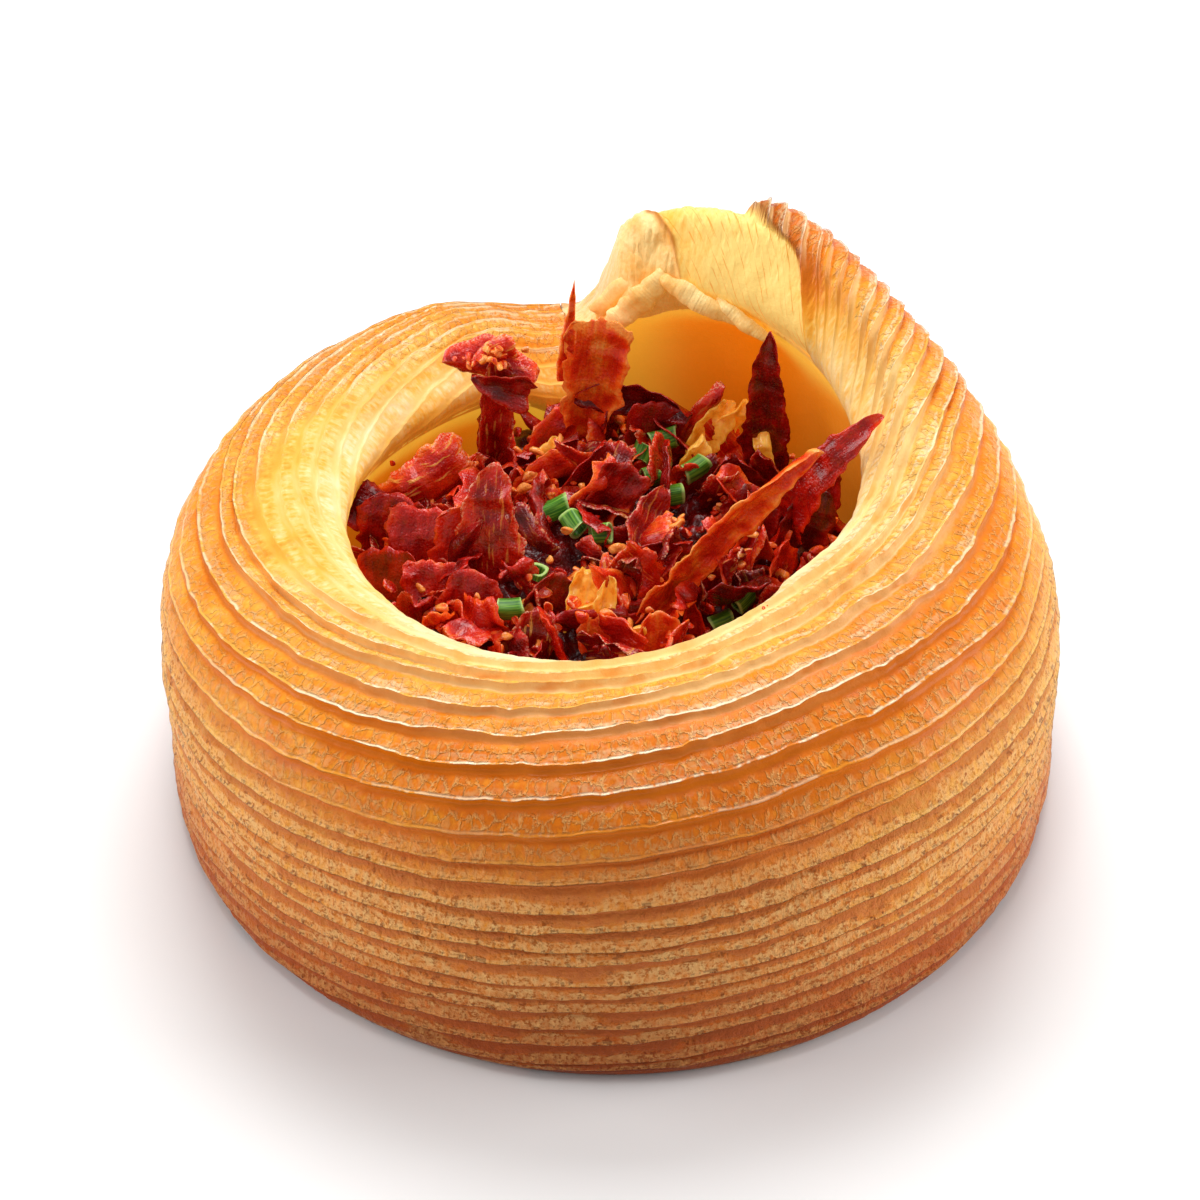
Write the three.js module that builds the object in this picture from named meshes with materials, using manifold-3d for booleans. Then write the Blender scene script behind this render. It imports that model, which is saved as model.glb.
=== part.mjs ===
// A croissant roll, 100 mm across: a coil of laminated dough with its cut layers showing as ridges,
// whose last turn climbs at the back right and twists over into a raised tail with a torn end.
// Its hollow holds a heap of crisp ham shards, bits of fried onion and cut chives.
// Millimetres, +Z up, the origin at the centre of the flat base, the front of the roll towards -Y.
import * as THREE from "three";
import { mergeVertices } from "three/addons/utils/BufferGeometryUtils.js";
import Module from "manifold-3d";

const wasm = await Module();
wasm.setup();

const DEGREE = Math.PI / 180;

// ---- Driving dimensions ------------------------------------------------------------------------

const FOOT_RADIUS = 48.8; // where the wall leaves the surface
const FOOT_LIFT = 0.5; // the rounded edge under the wall
const WALL_RADIUS = 49.6; // between the ridges
const MOUTH_RADIUS = 25.6; // the inner lip of the ring
const HOLLOW_RADIUS = 31.5; // the widest part of the hollow under the lip
const FLOOR_HEIGHT = 11; // the dough under the heap
const CLEARANCE = 0.5; // between the hollow and the heap in it

// A turn angle is measured from +X towards +Y. The coil runs from the joint under the tail once round
// the front to the tail's torn end, so its turn angles go from TAIL_END - 360 to TAIL_END.
const TAIL_END = 98;
const JOINT = TAIL_END - 360;

// The height of the crest along the coil: turn angle, height.
const CREST_HEIGHTS = [
  [JOINT, 34.3],
  [-256, 35],
  [-249, 37],
  [-239, 38.4],
  [-228, 38.4],
  [-180, 40.2],
  [-90, 42.3],
  [-20, 44.9],
  [10, 48.4],
  [38, 54.6],
  [50, 57.7],
  [58, 58.8],
  [63, 57.2],
  [67, 53.6],
  [84, 52.4],
];

// Two cross sections, from the foot over the crest to the floor of the hollow. Each row is a radius,
// a share of the crest's height and a height added to that. The ring blends into the tail.
const RING_SECTION = [
  [FOOT_RADIUS, 0, FOOT_LIFT],
  [49.7, 0, 3],
  [WALL_RADIUS, 0, 12],
  [WALL_RADIUS, 0.58, 0],
  [46.6, 0.83, 0],
  [40.6, 0.955, 0],
  [34.3, 1, 0],
  [29.3, 1, -1],
  [MOUTH_RADIUS, 1, -3],
  [26.4, 1, -6.2],
  [30, 1, -13],
  [HOLLOW_RADIUS, 0, 20],
  [29, 0, FLOOR_HEIGHT + 1],
];
const TAIL_SECTION = [
  [FOOT_RADIUS, 0, FOOT_LIFT],
  [49.7, 0, 3],
  [WALL_RADIUS, 0, 12],
  [49, 0.46, 0],
  [45.3, 0.7, 0],
  [40, 0.89, 0],
  [33.6, 1, 0],
  [29.6, 1, -3.2],
  [26.8, 1, -8.5],
  [28.2, 1, -12.5],
  [31.6, 1, -20],
  [32.3, 0, 23],
  [29, 0, FLOOR_HEIGHT + 1],
];
const LIP_ROW = 9; // the ridges run from the foot, row 0, to this row just under the lip
const SLIM_ROWS = [0, 0, 0, 0.3, 1, 1, 0.5, 0, 0, 0, 0, 0, 0]; // how far each row gives way on the right
const FLAP_ROWS = [0, 0, 0, 0, 0, 0, 0, 0.2, 0.8, 1, 0.3, 0, 0]; // how far the torn flap drops each row
const MOUTH_ROWS = [0, 0, 0, 0, 0, 0, 0, 0.6, 1, 1, 0.7, 0.3, 0]; // how far each row follows the mouth

// The mouth is no true circle: turn angle, how far its lip lies outside MOUTH_RADIUS.
const MOUTH_OFFSETS = [
  [JOINT, 1.5],
  [-175, 3.5],
  [-145, 2.5],
  [-110, 0.5],
  [-75, -1],
  [-40, -1.9],
  [-18, 0],
  [5, 1.2],
  [60, 0.4],
];

// Ridges.
const RIDGE_DEPTH = 0.9; // from a layer's edge to the groove under it
const GROOVE = 0.2; // where the groove lies between one edge and the next
const RIDGE_APEX = -58; // the turn angle at which the ridges stand highest

// ---- Small helpers -----------------------------------------------------------------------------

function smooth(from, to, x) {
  const t = Math.min(Math.max((x - from) / (to - from), 0), 1);
  return t * t * (3 - 2 * t);
}

function mix(a, b, share) {
  return a + (b - a) * share;
}

// A repeatable number from 0 to 1 for an integer.
function scatter(n) {
  const s = Math.sin(n * 12.9898 + 4.1414) * 43758.5453;
  return s - Math.floor(s);
}

// The value at x of a smooth line through keys of [x, value], flat beyond its ends.
function keyed(keys, x) {
  const last = keys.length - 1;
  if (x <= keys[0][0]) return keys[0][1];
  if (x >= keys[last][0]) return keys[last][1];
  const i = keys.findIndex((key) => key[0] > x) - 1;
  const slope = (k) => (keys[k + 1][1] - keys[k][1]) / (keys[k + 1][0] - keys[k][0]);
  const tangent = (k) => {
    if (k === 0 || k === last) return 0;
    const before = slope(k - 1);
    const after = slope(k);
    return before * after <= 0 ? 0 : (2 * before * after) / (before + after);
  };
  const step = keys[i + 1][0] - keys[i][0];
  const t = (x - keys[i][0]) / step;
  return (
    (2 * t ** 3 - 3 * t ** 2 + 1) * keys[i][1] +
    (t ** 3 - 2 * t ** 2 + t) * step * tangent(i) +
    (3 * t ** 2 - 2 * t ** 3) * keys[i + 1][1] +
    (t ** 3 - t ** 2) * step * tangent(i + 1)
  );
}

function geometryOf(points, faces) {
  const geometry = new THREE.BufferGeometry();
  geometry.setAttribute("position", new THREE.Float32BufferAttribute(points.flat(), 3));
  geometry.setIndex(faces.flat());
  return geometry;
}

// ---- Pastry ------------------------------------------------------------------------------------

// The control points of the cross section at a turn angle, as [radius, height].
function sectionRows(turn) {
  const torn = 1 - smooth(83, 95.5, turn);
  const start = CREST_HEIGHTS[0][1];
  const crest = mix(start, keyed(CREST_HEIGHTS, turn), torn);
  const tail = smooth(-35, 60, turn) * torn;
  const slim = keyed([[-60, 0], [10, 1.2], [45, 0.9], [75, 0.4], [TAIL_END, 0]], turn);
  const full = smooth(JOINT, -200, turn) * (1 - smooth(-150, -60, turn));
  const flap = smooth(83, 87, turn) * (1 - smooth(89, 93, turn));
  const mouth = keyed(MOUTH_OFFSETS, turn);
  return RING_SECTION.map((ring, row) => {
    const other = TAIL_SECTION[row];
    const spread = (0.8 * full - slim) * SLIM_ROWS[row] + mouth * MOUTH_ROWS[row];
    const radius = mix(ring[0], other[0], tail) + spread;
    const ringHeight = ring[1] * crest + ring[2];
    const tailHeight = other[1] * crest + other[2];
    const drop = 4 * flap * FLAP_ROWS[row];
    return [radius - 0.3 * drop, mix(ringHeight, tailHeight, tail) - drop];
  });
}

// The cross section at a turn angle as a smooth curve in the plane of radius and height.
function sectionCurve(turn) {
  const rows = sectionRows(turn);
  const curve = new THREE.SplineCurve(rows.map(([radius, height]) => new THREE.Vector2(radius, height)));
  const samples = 240;
  const spans = rows.length - 1;
  const points = curve.getPoints(samples);
  const lengths = [0];
  for (let i = 1; i <= samples; i++) lengths.push(lengths[i - 1] + points[i].distanceTo(points[i - 1]));
  const ridged = lengths[Math.round((LIP_ROW / spans) * samples)];
  // The curve's own parameter at a share of the way from the foot to just under the lip.
  const parameter = (share) => {
    const target = share * ridged;
    const i = Math.max(lengths.findIndex((length) => length >= target), 1);
    return (i - 1 + (target - lengths[i - 1]) / (lengths[i] - lengths[i - 1])) / samples;
  };
  return { curve, parameter, spans };
}

// How far the ridges have sunk towards the foot at a turn angle, as a share of the section's length:
// gently to the left of their apex, and ever steeper over the crest where the tail rises.
function ridgeSink(turn) {
  const past = turn - RIDGE_APEX;
  if (past < 0) return 0.0025 * (Math.hypot(past, 74) - 74);
  return 0.001 * past + 0.08 * Math.log(1 + Math.exp((turn - 10) / 8));
}

// Ridges are numbered upwards from the foot at the apex: close at the foot, wider at the shoulder.
function ridgeNumber(level) {
  const bend = 0.85;
  if (level < bend) return 27.8 * level - 6.5 * level * level;
  return 27.8 * bend - 6.5 * bend * bend + 25 * (level - bend);
}

// The depth of the ridges, fading out at the foot and on the smooth inner lip.
function ridgeDepth(share, turn) {
  const tail = smooth(10, 50, turn);
  const inner = mix(0.84, 0.9, tail);
  const low = mix(0.45, 1, smooth(0.1, 0.45, share));
  return RIDGE_DEPTH * low * smooth(0, 0.05, share) * mix(1, 0.25, smooth(inner - 0.12, inner, share));
}

// One column of the skin, from the centre of the base out, up, over and down to the hollow's floor.
// Each point has a key that orders it among the points of the columns beside it.
function column(turn) {
  const { curve, parameter, spans } = sectionCurve(turn);
  const cos = Math.cos(turn * DEGREE);
  const sin = Math.sin(turn * DEGREE);
  const out = [];
  const put = (key, share, radius, height) =>
    out.push({ key, share, point: [radius * cos, radius * sin, height] });
  const putOnCurve = (key, share, t, lift) => {
    const at = curve.getPoint(t);
    const along = curve.getTangent(t);
    put(key, share, at.x + along.y * lift, at.y - along.x * lift);
  };
  put(-300, -0.2, FOOT_RADIUS - 1, 0);
  putOnCurve(-200, 0, 0, 0);
  const sink = ridgeSink(turn);
  const margin = 0.012;
  const steps = 400;
  for (let i = 0; i < steps; i++) {
    const low = i / steps;
    const high = (i + 1) / steps;
    const lowNumber = ridgeNumber(low + sink);
    const highNumber = ridgeNumber(high + sink);
    for (let n = Math.floor(lowNumber); n <= highNumber + 1; n++) {
      const shift = 0.36 * (scatter(n) - 0.5);
      for (const [offset, side] of [[0, 0.45], [-GROOVE, -0.55]]) {
        const number = n + shift + offset;
        if (number < lowNumber || number >= highNumber) continue;
        const share = mix(low, high, (number - lowNumber) / (highNumber - lowNumber));
        if (share < margin || share > 1 - margin) continue;
        const lift = side * ridgeDepth(share, turn) * mix(0.75, 1.25, scatter(n + 50));
        putOnCurve(number, share, parameter(share), lift);
      }
    }
  }
  for (let step = 0; step <= 6; step++) {
    const row = mix(LIP_ROW, spans, step / 6);
    putOnCurve(1000 + row, 1 + step, row / spans, 0);
  }
  put(1100, 10, 24, FLOOR_HEIGHT);
  return out;
}

// Turn angles of the columns: wider apart round the ring, closer along the tail and at its torn end.
function columnTurns() {
  const turns = [];
  const stretches = [[JOINT, 20, 52], [20, 83, 18], [83, 96, 8], [96, TAIL_END, 1]];
  for (const [from, to, count] of stretches) {
    for (let i = 0; i < count; i++) turns.push(mix(from, to, i / count));
  }
  return turns;
}

// Triangles between two columns, in the order of the named field.
function zip(left, right, field, faces) {
  let i = 0;
  let j = 0;
  while (i < left.length - 1 || j < right.length - 1) {
    const stepLeft = j === right.length - 1 ||
      (i < left.length - 1 && left[i + 1][field] <= right[j + 1][field]);
    if (stepLeft) {
      faces.push([left[i].index, right[j].index, left[i + 1].index]);
      i++;
    } else {
      faces.push([left[i].index, right[j].index, right[j + 1].index]);
      j++;
    }
  }
}

function pastryGeometry() {
  const points = [[0, 0, 0], [0, 0, FLOOR_HEIGHT]];
  const faces = [];
  const columns = columnTurns().map(column);
  for (const skin of columns) {
    for (const spot of skin) {
      spot.index = points.length;
      points.push(spot.point);
    }
  }
  columns.forEach((skin, i) => {
    const next = columns[(i + 1) % columns.length];
    faces.push([0, next[0].index, skin[0].index]);
    zip(skin, next, i + 1 < columns.length ? "key" : "share", faces);
    faces.push([skin.at(-1).index, next.at(-1).index, 1]);
  });
  return geometryOf(points, faces);
}

function pastry() {
  const crust = new THREE.MeshStandardMaterial({ color: 0xd9963f, roughness: 0.55, metalness: 0 });
  const mesh = new THREE.Mesh(pastryGeometry(), crust);
  mesh.name = "pastry";
  return mesh;
}

// ---- Filling -----------------------------------------------------------------------------------

const HEAP_HEIGHT = 30.8; // the middle of the heap's bare core
const HEAP_RADIUS = 30.4;
const SHARD_THICKNESS = 1.1;
const CHIVE_RADIUS = 1.2;
const CHIVE_LENGTH = 2.8;

// The named outlines of a shard: how its width grows from the base and falls off to the tip.
const PLATE = [0.25, 0.2];
const SPEAR = [0.2, 0.9];
const LEAF = [0.6, 0.6];
const FAN = [0.7, 0.15];

// Ham shards that stand out of the heap: base, tip, width, the turn angle that the face looks to,
// how far the middle bows towards the face, how far the long edges curl, and the outline.
const SHARDS = [
  [[-12.6, 19.2, 26], [-12.9, 18, 41], 4.4, -80, 1, 0.8, PLATE], // stalk under the back-left cap
  [[-18.2, 17.2, 44], [-8.8, 15.8, 42], 5.6, -75, -1, -1.6, LEAF], // the cap on that stalk
  [[-3.3, 22, 26], [-1.8, 22, 46.8], 7.6, -92, 0.8, 0.9, PLATE], // tall one at the back
  [[-5.4, 21.6, 40], [-4.2, 21.6, 52.6], 1.7, -90, 0.3, 0, SPEAR], // its thin spike
  [[-4, 21.2, 36.8], [8.6, 18.6, 35.8], 4.6, -70, -2, 1.2, LEAF], // dark curled leaf beside it
  [[3, 19.5, 26], [5.5, 20, 36.5], 7, -88, 0.5, 0.8, FAN],
  [[-26.2, 9.4, 30.5], [-16, 12.6, 34.6], 7.5, -98, 1.4, -1.8, FAN], // folded one on the left
  [[-24, 8, 25], [-22, 9, 32], 6, -100, 0.5, 0.5, PLATE],
  [[-13.4, -3.2, 26], [-12.4, -1.8, 46.4], 6.8, -105, 0.8, 0.6, SPEAR], // upright plate
  [[-18, -1.5, 26], [-15.4, 0.6, 38.5], 7, -95, 0.6, 0.8, PLATE],
  [[-23.4, -2.4, 25], [-26, 0.6, 33.6], 6, -120, 0.5, 0.6, PLATE],
  [[-20, -5.5, 25], [-20.4, -1.5, 34], 5, -70, 0.5, 0.6, LEAF],
  [[2.6, -8.5, 28.5], [21.6, 1.2, 45.4], 4.6, -62, -1, 0.9, PLATE], // long bright strip
  [[17.4, 17, 26], [17.6, 16.4, 50], 5, -100, 1, 0.9, SPEAR], // dark upright one
  [[20.6, 9.6, 25], [29.2, 2.4, 49.6], 4.6, -145, 5.4, 0.4, SPEAR], // the one over the right lip
  [[21, 9, 24], [23.2, 10.6, 36.5], 6, -100, 0.6, 0.8, PLATE],
  [[12.6, 13, 26], [13.6, 12, 36], 7, -80, 0.8, 1.2, LEAF],
  [[9, -7.6, 22], [8.7, -6, 31.4], 3.6, -90, 0.4, 0.4, SPEAR], // small one at the front
  [[-0.4, -13.2, 26], [-1, -11.2, 33.4], 5, -100, 0.7, 1, PLATE],
  [[4, -12.6, 25], [4.8, -10.8, 33], 4.6, -75, 0.7, 1, PLATE],
  [[-8.8, -13.4, 26.5], [-7.8, -11, 33.6], 5, -95, 0.5, 0.6, PLATE],
  [[-6.4, 12, 28], [-0.6, 14, 36], 6, -60, 0.6, 1, LEAF],
  [[-2, -3, 29], [8.6, -1, 34], 5, -80, -1, 1, LEAF],
];

// Bits of fried onion: centre and radius.
const ONION_BITS = [
  [[10.6, 21, 30.4], 3.6],
  [[8.6, 15.8, 30], 2.6],
  [[-4, -7.4, 31], 3],
  [[-1.4, -11, 31.6], 3],
  [[-7, 17.6, 30.6], 1.9],
  [[7.4, -3, 29.6], 1.9],
  [[-13, 17.6, 44.6], 1.8],
];

// Cut chives: centre and the turn angle in which they lie.
const CHIVES = [
  [[5.9, 18, 31.2], 10],
  [[3.4, 16.6, 30.8], 60],
  [[4.4, 12.4, 30.8], 25],
  [[9.3, 13, 31], 35],
  [[6.7, 9.2, 29.8], 5],
  [[-6.2, 5.6, 31], 15],
  [[-4.1, 3.1, 31.8], 120],
  [[-1.3, 1.6, 31.4], 0],
  [[-8.3, -5.2, 30.6], 40],
  [[-11.1, -9.9, 30.2], 0],
  [[14.3, -5, 27.6], 50],
  [[12.1, -7, 25.8], 20],
];

// The bare core's height under a place: a low dome with lumps, sunk at the front right.
function heapHeight(x, y) {
  const sunk = 7 * Math.exp(-((x - 13) ** 2 + (y + 12) ** 2) / 60);
  const lumps = 0.9 * Math.sin(0.5 * x + 1) * Math.cos(0.45 * y + 2);
  return HEAP_HEIGHT - 0.0055 * (x * x + y * y) - sunk + lumps;
}

function coreGeometry() {
  const count = 36;
  const points = [];
  const faces = [];
  const wall = [[23.4, FLOOR_HEIGHT + CLEARANCE], [28, FLOOR_HEIGHT + 1 + CLEARANCE], [HEAP_RADIUS, 19.6]];
  const rings = [27, 22, 16.5, 11, 5.5];
  for (let i = 0; i < count; i++) {
    const turn = (i / count) * 2 * Math.PI;
    const cos = Math.cos(turn);
    const sin = Math.sin(turn);
    for (const [radius, height] of wall) points.push([radius * cos, radius * sin, height]);
    for (const radius of rings) {
      const x = radius * cos;
      const y = radius * sin;
      points.push([x, y, heapHeight(x, y)]);
    }
  }
  const rows = wall.length + rings.length;
  const bottom = points.push([0, 0, FLOOR_HEIGHT + CLEARANCE]) - 1;
  const top = points.push([0, 0, heapHeight(0, 0)]) - 1;
  for (let i = 0; i < count; i++) {
    const here = i * rows;
    const next = ((i + 1) % count) * rows;
    faces.push([bottom, next, here]);
    for (let row = 0; row + 1 < rows; row++) {
      faces.push([here + row, next + row, next + row + 1]);
      faces.push([here + row, next + row + 1, here + row + 1]);
    }
    faces.push([here + rows - 1, next + rows - 1, top]);
  }
  return geometryOf(points, faces);
}

// A thin wavy blade with a ragged edge, both faces split into triangles alike.
function shardGeometry([base, tip, width, facing, bow, curl, outline], seed) {
  const from = new THREE.Vector3(...base);
  const along = new THREE.Vector3(...tip).sub(from);
  const axis = along.clone().normalize();
  const face = new THREE.Vector3(Math.cos(facing * DEGREE), Math.sin(facing * DEGREE), 0);
  face.addScaledVector(axis, -face.dot(axis)).normalize();
  const across = new THREE.Vector3().crossVectors(axis, face);
  const [grow, fall] = outline;
  const peak = grow / (grow + fall);
  const widest = peak ** grow * (1 - peak) ** fall;
  const long = Math.max(3, Math.round(along.length() / 3.5));
  const wide = 3;
  const points = [];
  const faces = [];
  for (const side of [0.5, -0.5]) {
    for (let i = 0; i <= long; i++) {
      const s = mix(0.03, 0.97, i / long);
      const share = (s ** grow * (1 - s) ** fall) / widest;
      for (let j = 0; j <= wide; j++) {
        const v = (2 * j) / wide - 1;
        const ragged = 1 + 0.35 * (scatter(seed + 7 * i + (v > 0 ? 3 : 0)) - 0.5);
        const wave = 0.5 * (scatter(seed + 31 * i + j) - 0.5);
        const lift = bow * 4 * s * (1 - s) + curl * v * v + wave + side * SHARD_THICKNESS;
        const spot = from.clone().addScaledVector(along, s);
        spot.addScaledVector(across, 0.5 * width * share * ragged * v).addScaledVector(face, lift);
        points.push(spot.toArray());
      }
    }
  }
  const row = wide + 1;
  const under = row * (long + 1);
  for (let i = 0; i < long; i++) {
    for (let j = 0; j < wide; j++) {
      const a = i * row + j;
      faces.push([a, a + 1, a + row], [a + 1, a + row + 1, a + row]);
      faces.push([under + a, under + a + row, under + a + 1]);
      faces.push([under + a + 1, under + a + row, under + a + row + 1]);
    }
  }
  const rim = [];
  for (let j = 0; j < wide; j++) rim.push(j);
  for (let i = 0; i < long; i++) rim.push(i * row + wide);
  for (let j = wide; j > 0; j--) rim.push(long * row + j);
  for (let i = long; i > 0; i--) rim.push(i * row);
  rim.forEach((a, i) => {
    const b = rim[(i + 1) % rim.length];
    faces.push([a, under + a, b], [b, under + a, under + b]);
  });
  return geometryOf(points, faces);
}

function lumpGeometry([centre, radius], seed) {
  const ball = new THREE.IcosahedronGeometry(radius, 1);
  ball.deleteAttribute("normal");
  ball.deleteAttribute("uv");
  const lump = mergeVertices(ball);
  const spots = lump.attributes.position;
  for (let i = 0; i < spots.count; i++) {
    const size = mix(0.72, 1.12, scatter(seed + i));
    spots.setXYZ(i, spots.getX(i) * size, spots.getY(i) * size * 0.8, spots.getZ(i) * size * 0.85);
  }
  return lump.rotateZ(seed).translate(...centre);
}

function chiveGeometry([centre, lie]) {
  const piece = new THREE.CylinderGeometry(CHIVE_RADIUS, CHIVE_RADIUS, CHIVE_LENGTH, 7, 1);
  piece.rotateZ(90 * DEGREE).rotateY(12 * DEGREE).rotateZ(lie * DEGREE).translate(...centre);
  piece.deleteAttribute("normal");
  piece.deleteAttribute("uv");
  return mergeVertices(piece);
}

function solidOf(geometry) {
  const triVerts = new Uint32Array(geometry.index.array);
  const vertProperties = new Float32Array(geometry.attributes.position.array);
  const solid = new wasm.Manifold(new wasm.Mesh({ numProp: 3, vertProperties, triVerts }));
  if (solid.volume() <= 0) throw new Error("a piece of the filling is inside out");
  return solid;
}

function fillingGeometry() {
  const pieces = [
    ...SHARDS.map((shard, i) => shardGeometry(shard, 100 * i)),
    ...ONION_BITS.map((bit, i) => lumpGeometry(bit, i + 1)),
    ...CHIVES.map(chiveGeometry),
  ];
  const whole = pieces.reduce((sum, piece) => sum.add(solidOf(piece)), solidOf(coreGeometry()));
  const mesh = whole.getMesh();
  const geometry = new THREE.BufferGeometry();
  geometry.setAttribute("position", new THREE.BufferAttribute(mesh.vertProperties, 3));
  geometry.setIndex(new THREE.BufferAttribute(mesh.triVerts, 1));
  return geometry;
}

function filling() {
  const ham = new THREE.MeshStandardMaterial({ color: 0x7d1510, roughness: 0.4, metalness: 0 });
  const mesh = new THREE.Mesh(fillingGeometry(), ham);
  mesh.name = "filling";
  return mesh;
}

// ---- Assembly ----------------------------------------------------------------------------------

const roll = new THREE.Group();
roll.add(pastry(), filling());

export default roll;
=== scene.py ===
"""A croissant roll with a heap of crisp ham, fried onion and chives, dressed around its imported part.

Lengths are in millimetres until a mesh is made. A turn angle is in degrees from +X towards +Y, and a
share runs from 0 at the foot of the roll, up the wall and over the crest, to 1 just under the lip.
"""

from __future__ import annotations

import logging
import math
from dataclasses import dataclass, field
from enum import Enum
from typing import Any, Sequence

import bpy
import numpy as np
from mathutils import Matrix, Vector

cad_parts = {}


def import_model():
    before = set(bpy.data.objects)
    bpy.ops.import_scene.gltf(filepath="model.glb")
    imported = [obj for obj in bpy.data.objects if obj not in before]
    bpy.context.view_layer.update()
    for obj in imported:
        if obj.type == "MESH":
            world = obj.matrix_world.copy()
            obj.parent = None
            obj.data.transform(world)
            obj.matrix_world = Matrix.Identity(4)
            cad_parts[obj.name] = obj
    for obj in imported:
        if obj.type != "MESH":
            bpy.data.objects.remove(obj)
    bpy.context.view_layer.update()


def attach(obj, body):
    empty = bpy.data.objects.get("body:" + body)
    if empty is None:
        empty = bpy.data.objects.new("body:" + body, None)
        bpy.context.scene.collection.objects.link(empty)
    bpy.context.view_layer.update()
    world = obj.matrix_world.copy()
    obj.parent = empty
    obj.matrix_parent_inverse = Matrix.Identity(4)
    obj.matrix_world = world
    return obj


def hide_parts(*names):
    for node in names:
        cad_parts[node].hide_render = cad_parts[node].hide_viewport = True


LOG = logging.getLogger("croissant_roll")
MM = 0.001
DARK = "000000"
HOLLOW_FROM = 0.985  # the share at which the skin ends and the hollow's wall begins
Keys = Sequence[tuple[float, float]]
Triple = tuple[float, float, float]


# ---- Numbers ---------------------------------------------------------------------------------------


def smooth(low: float, high: float, x: Any) -> Any:
    """A soft step.

    Args:
        low: where the step leaves 0.
        high: where it reaches 1.
        x: the value or values to step.

    Returns:
        0 to 1 for each value.
    """
    t = np.clip((np.asarray(x, float) - low) / (high - low), 0.0, 1.0)
    return t * t * (3.0 - 2.0 * t)


def mix(a: Any, b: Any, share: Any) -> Any:
    """The value at a share of the way from a to b."""
    return a + (b - a) * share


def scatter(n: Any) -> Any:
    """A repeatable number from 0 to 1 for each whole number."""
    s = np.sin(np.asarray(n, float) * 12.9898 + 4.1414) * 43758.5453
    return s - np.floor(s)


def keyed(keys: Keys, x: Any) -> Any:
    """A smooth line through keys, flat beyond its ends.

    Args:
        keys: places and values, in rising order of place.
        x: the places to read.

    Returns:
        The line's value at each place.
    """
    spots = np.array([key[0] for key in keys], float)
    values = np.array([key[1] for key in keys], float)
    slopes = np.diff(values) / np.diff(spots)
    tangents = np.zeros(len(keys))
    rising = slopes[:-1] * slopes[1:] > 0
    total = np.where(rising, slopes[:-1] + slopes[1:], 1.0)
    tangents[1:-1] = np.where(rising, 2.0 * slopes[:-1] * slopes[1:] / total, 0.0)
    place = np.clip(np.asarray(x, float), spots[0], spots[-1])
    i = np.clip(np.searchsorted(spots, place, side="right") - 1, 0, len(keys) - 2)
    step = spots[i + 1] - spots[i]
    t = (place - spots[i]) / step
    low = (2 * t**3 - 3 * t**2 + 1) * values[i] + (t**3 - 2 * t**2 + t) * step * tangents[i]
    high = (3 * t**2 - 2 * t**3) * values[i + 1] + (t**3 - t**2) * step * tangents[i + 1]
    return low + high


def wander(points: np.ndarray, size: float, seed: int = 0) -> np.ndarray:
    """Smooth random values in space.

    Args:
        points: one row of three numbers per point.
        size: the width of one lump, in the points' own unit.
        seed: another number gives other lumps.

    Returns:
        -1 to 1 for each point.
    """
    place = np.asarray(points, float) / size
    cell = np.floor(place).astype(np.int64)
    part = place - cell
    ease = part * part * (3.0 - 2.0 * part)
    total = np.zeros(len(place))
    for corner in range(8):
        step = np.array([corner & 1, corner >> 1 & 1, corner >> 2 & 1])
        spot = (cell + step) & 0xFFFF
        mixed = spot[:, 0] * 73856093 ^ spot[:, 1] * 19349663 ^ spot[:, 2] * 83492791
        mixed = (mixed ^ seed * 2654435761) & 0xFFFFFFFF
        mixed = (mixed ^ mixed >> 15) * 2246822519 & 0xFFFFFFFF
        mixed = (mixed ^ mixed >> 13) & 0xFFFFFF
        weight = np.where(step == 1, ease, 1.0 - ease).prod(axis=1)
        total += weight * (mixed / 0x7FFFFF - 1.0)
    return total


def cells(points: np.ndarray, size: float, seed: int = 0) -> np.ndarray:
    """A pattern of uneven round cells on a flat field.

    Args:
        points: one row of two numbers per point.
        size: the width of one cell, in the points' own unit.
        seed: another number gives other cells.

    Returns:
        For each point 0 on the wall between two cells, rising to about 1 in a cell's middle.
    """
    place = np.asarray(points, float) / size
    cell = np.floor(place)
    nearest = np.full(len(place), 9.0)
    second = np.full(len(place), 9.0)
    for step in range(9):
        spot = cell + np.array([step % 3 - 1, step // 3 - 1])
        key = spot[:, 0] * 57.0 + spot[:, 1] * 131.0 + seed * 17.0
        middle = spot + np.stack([scatter(key), scatter(key + 0.5)], 1)
        gap = np.hypot(*(place - middle).T)
        second = np.minimum(second, np.maximum(gap, nearest))
        nearest = np.minimum(nearest, gap)
    return np.clip(second - nearest, 0.0, 1.0)


def tint(code: str) -> tuple[float, float, float, float]:
    """The linear colour of a web colour code such as F8D878."""
    parts = [int(code[i : i + 2], 16) / 255.0 for i in (0, 2, 4)]
    red, green, blue = (p / 12.92 if p <= 0.04045 else ((p + 0.055) / 1.055) ** 2.4 for p in parts)
    return (red, green, blue, 1.0)


# ---- Shader maths ----------------------------------------------------------------------------------


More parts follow.
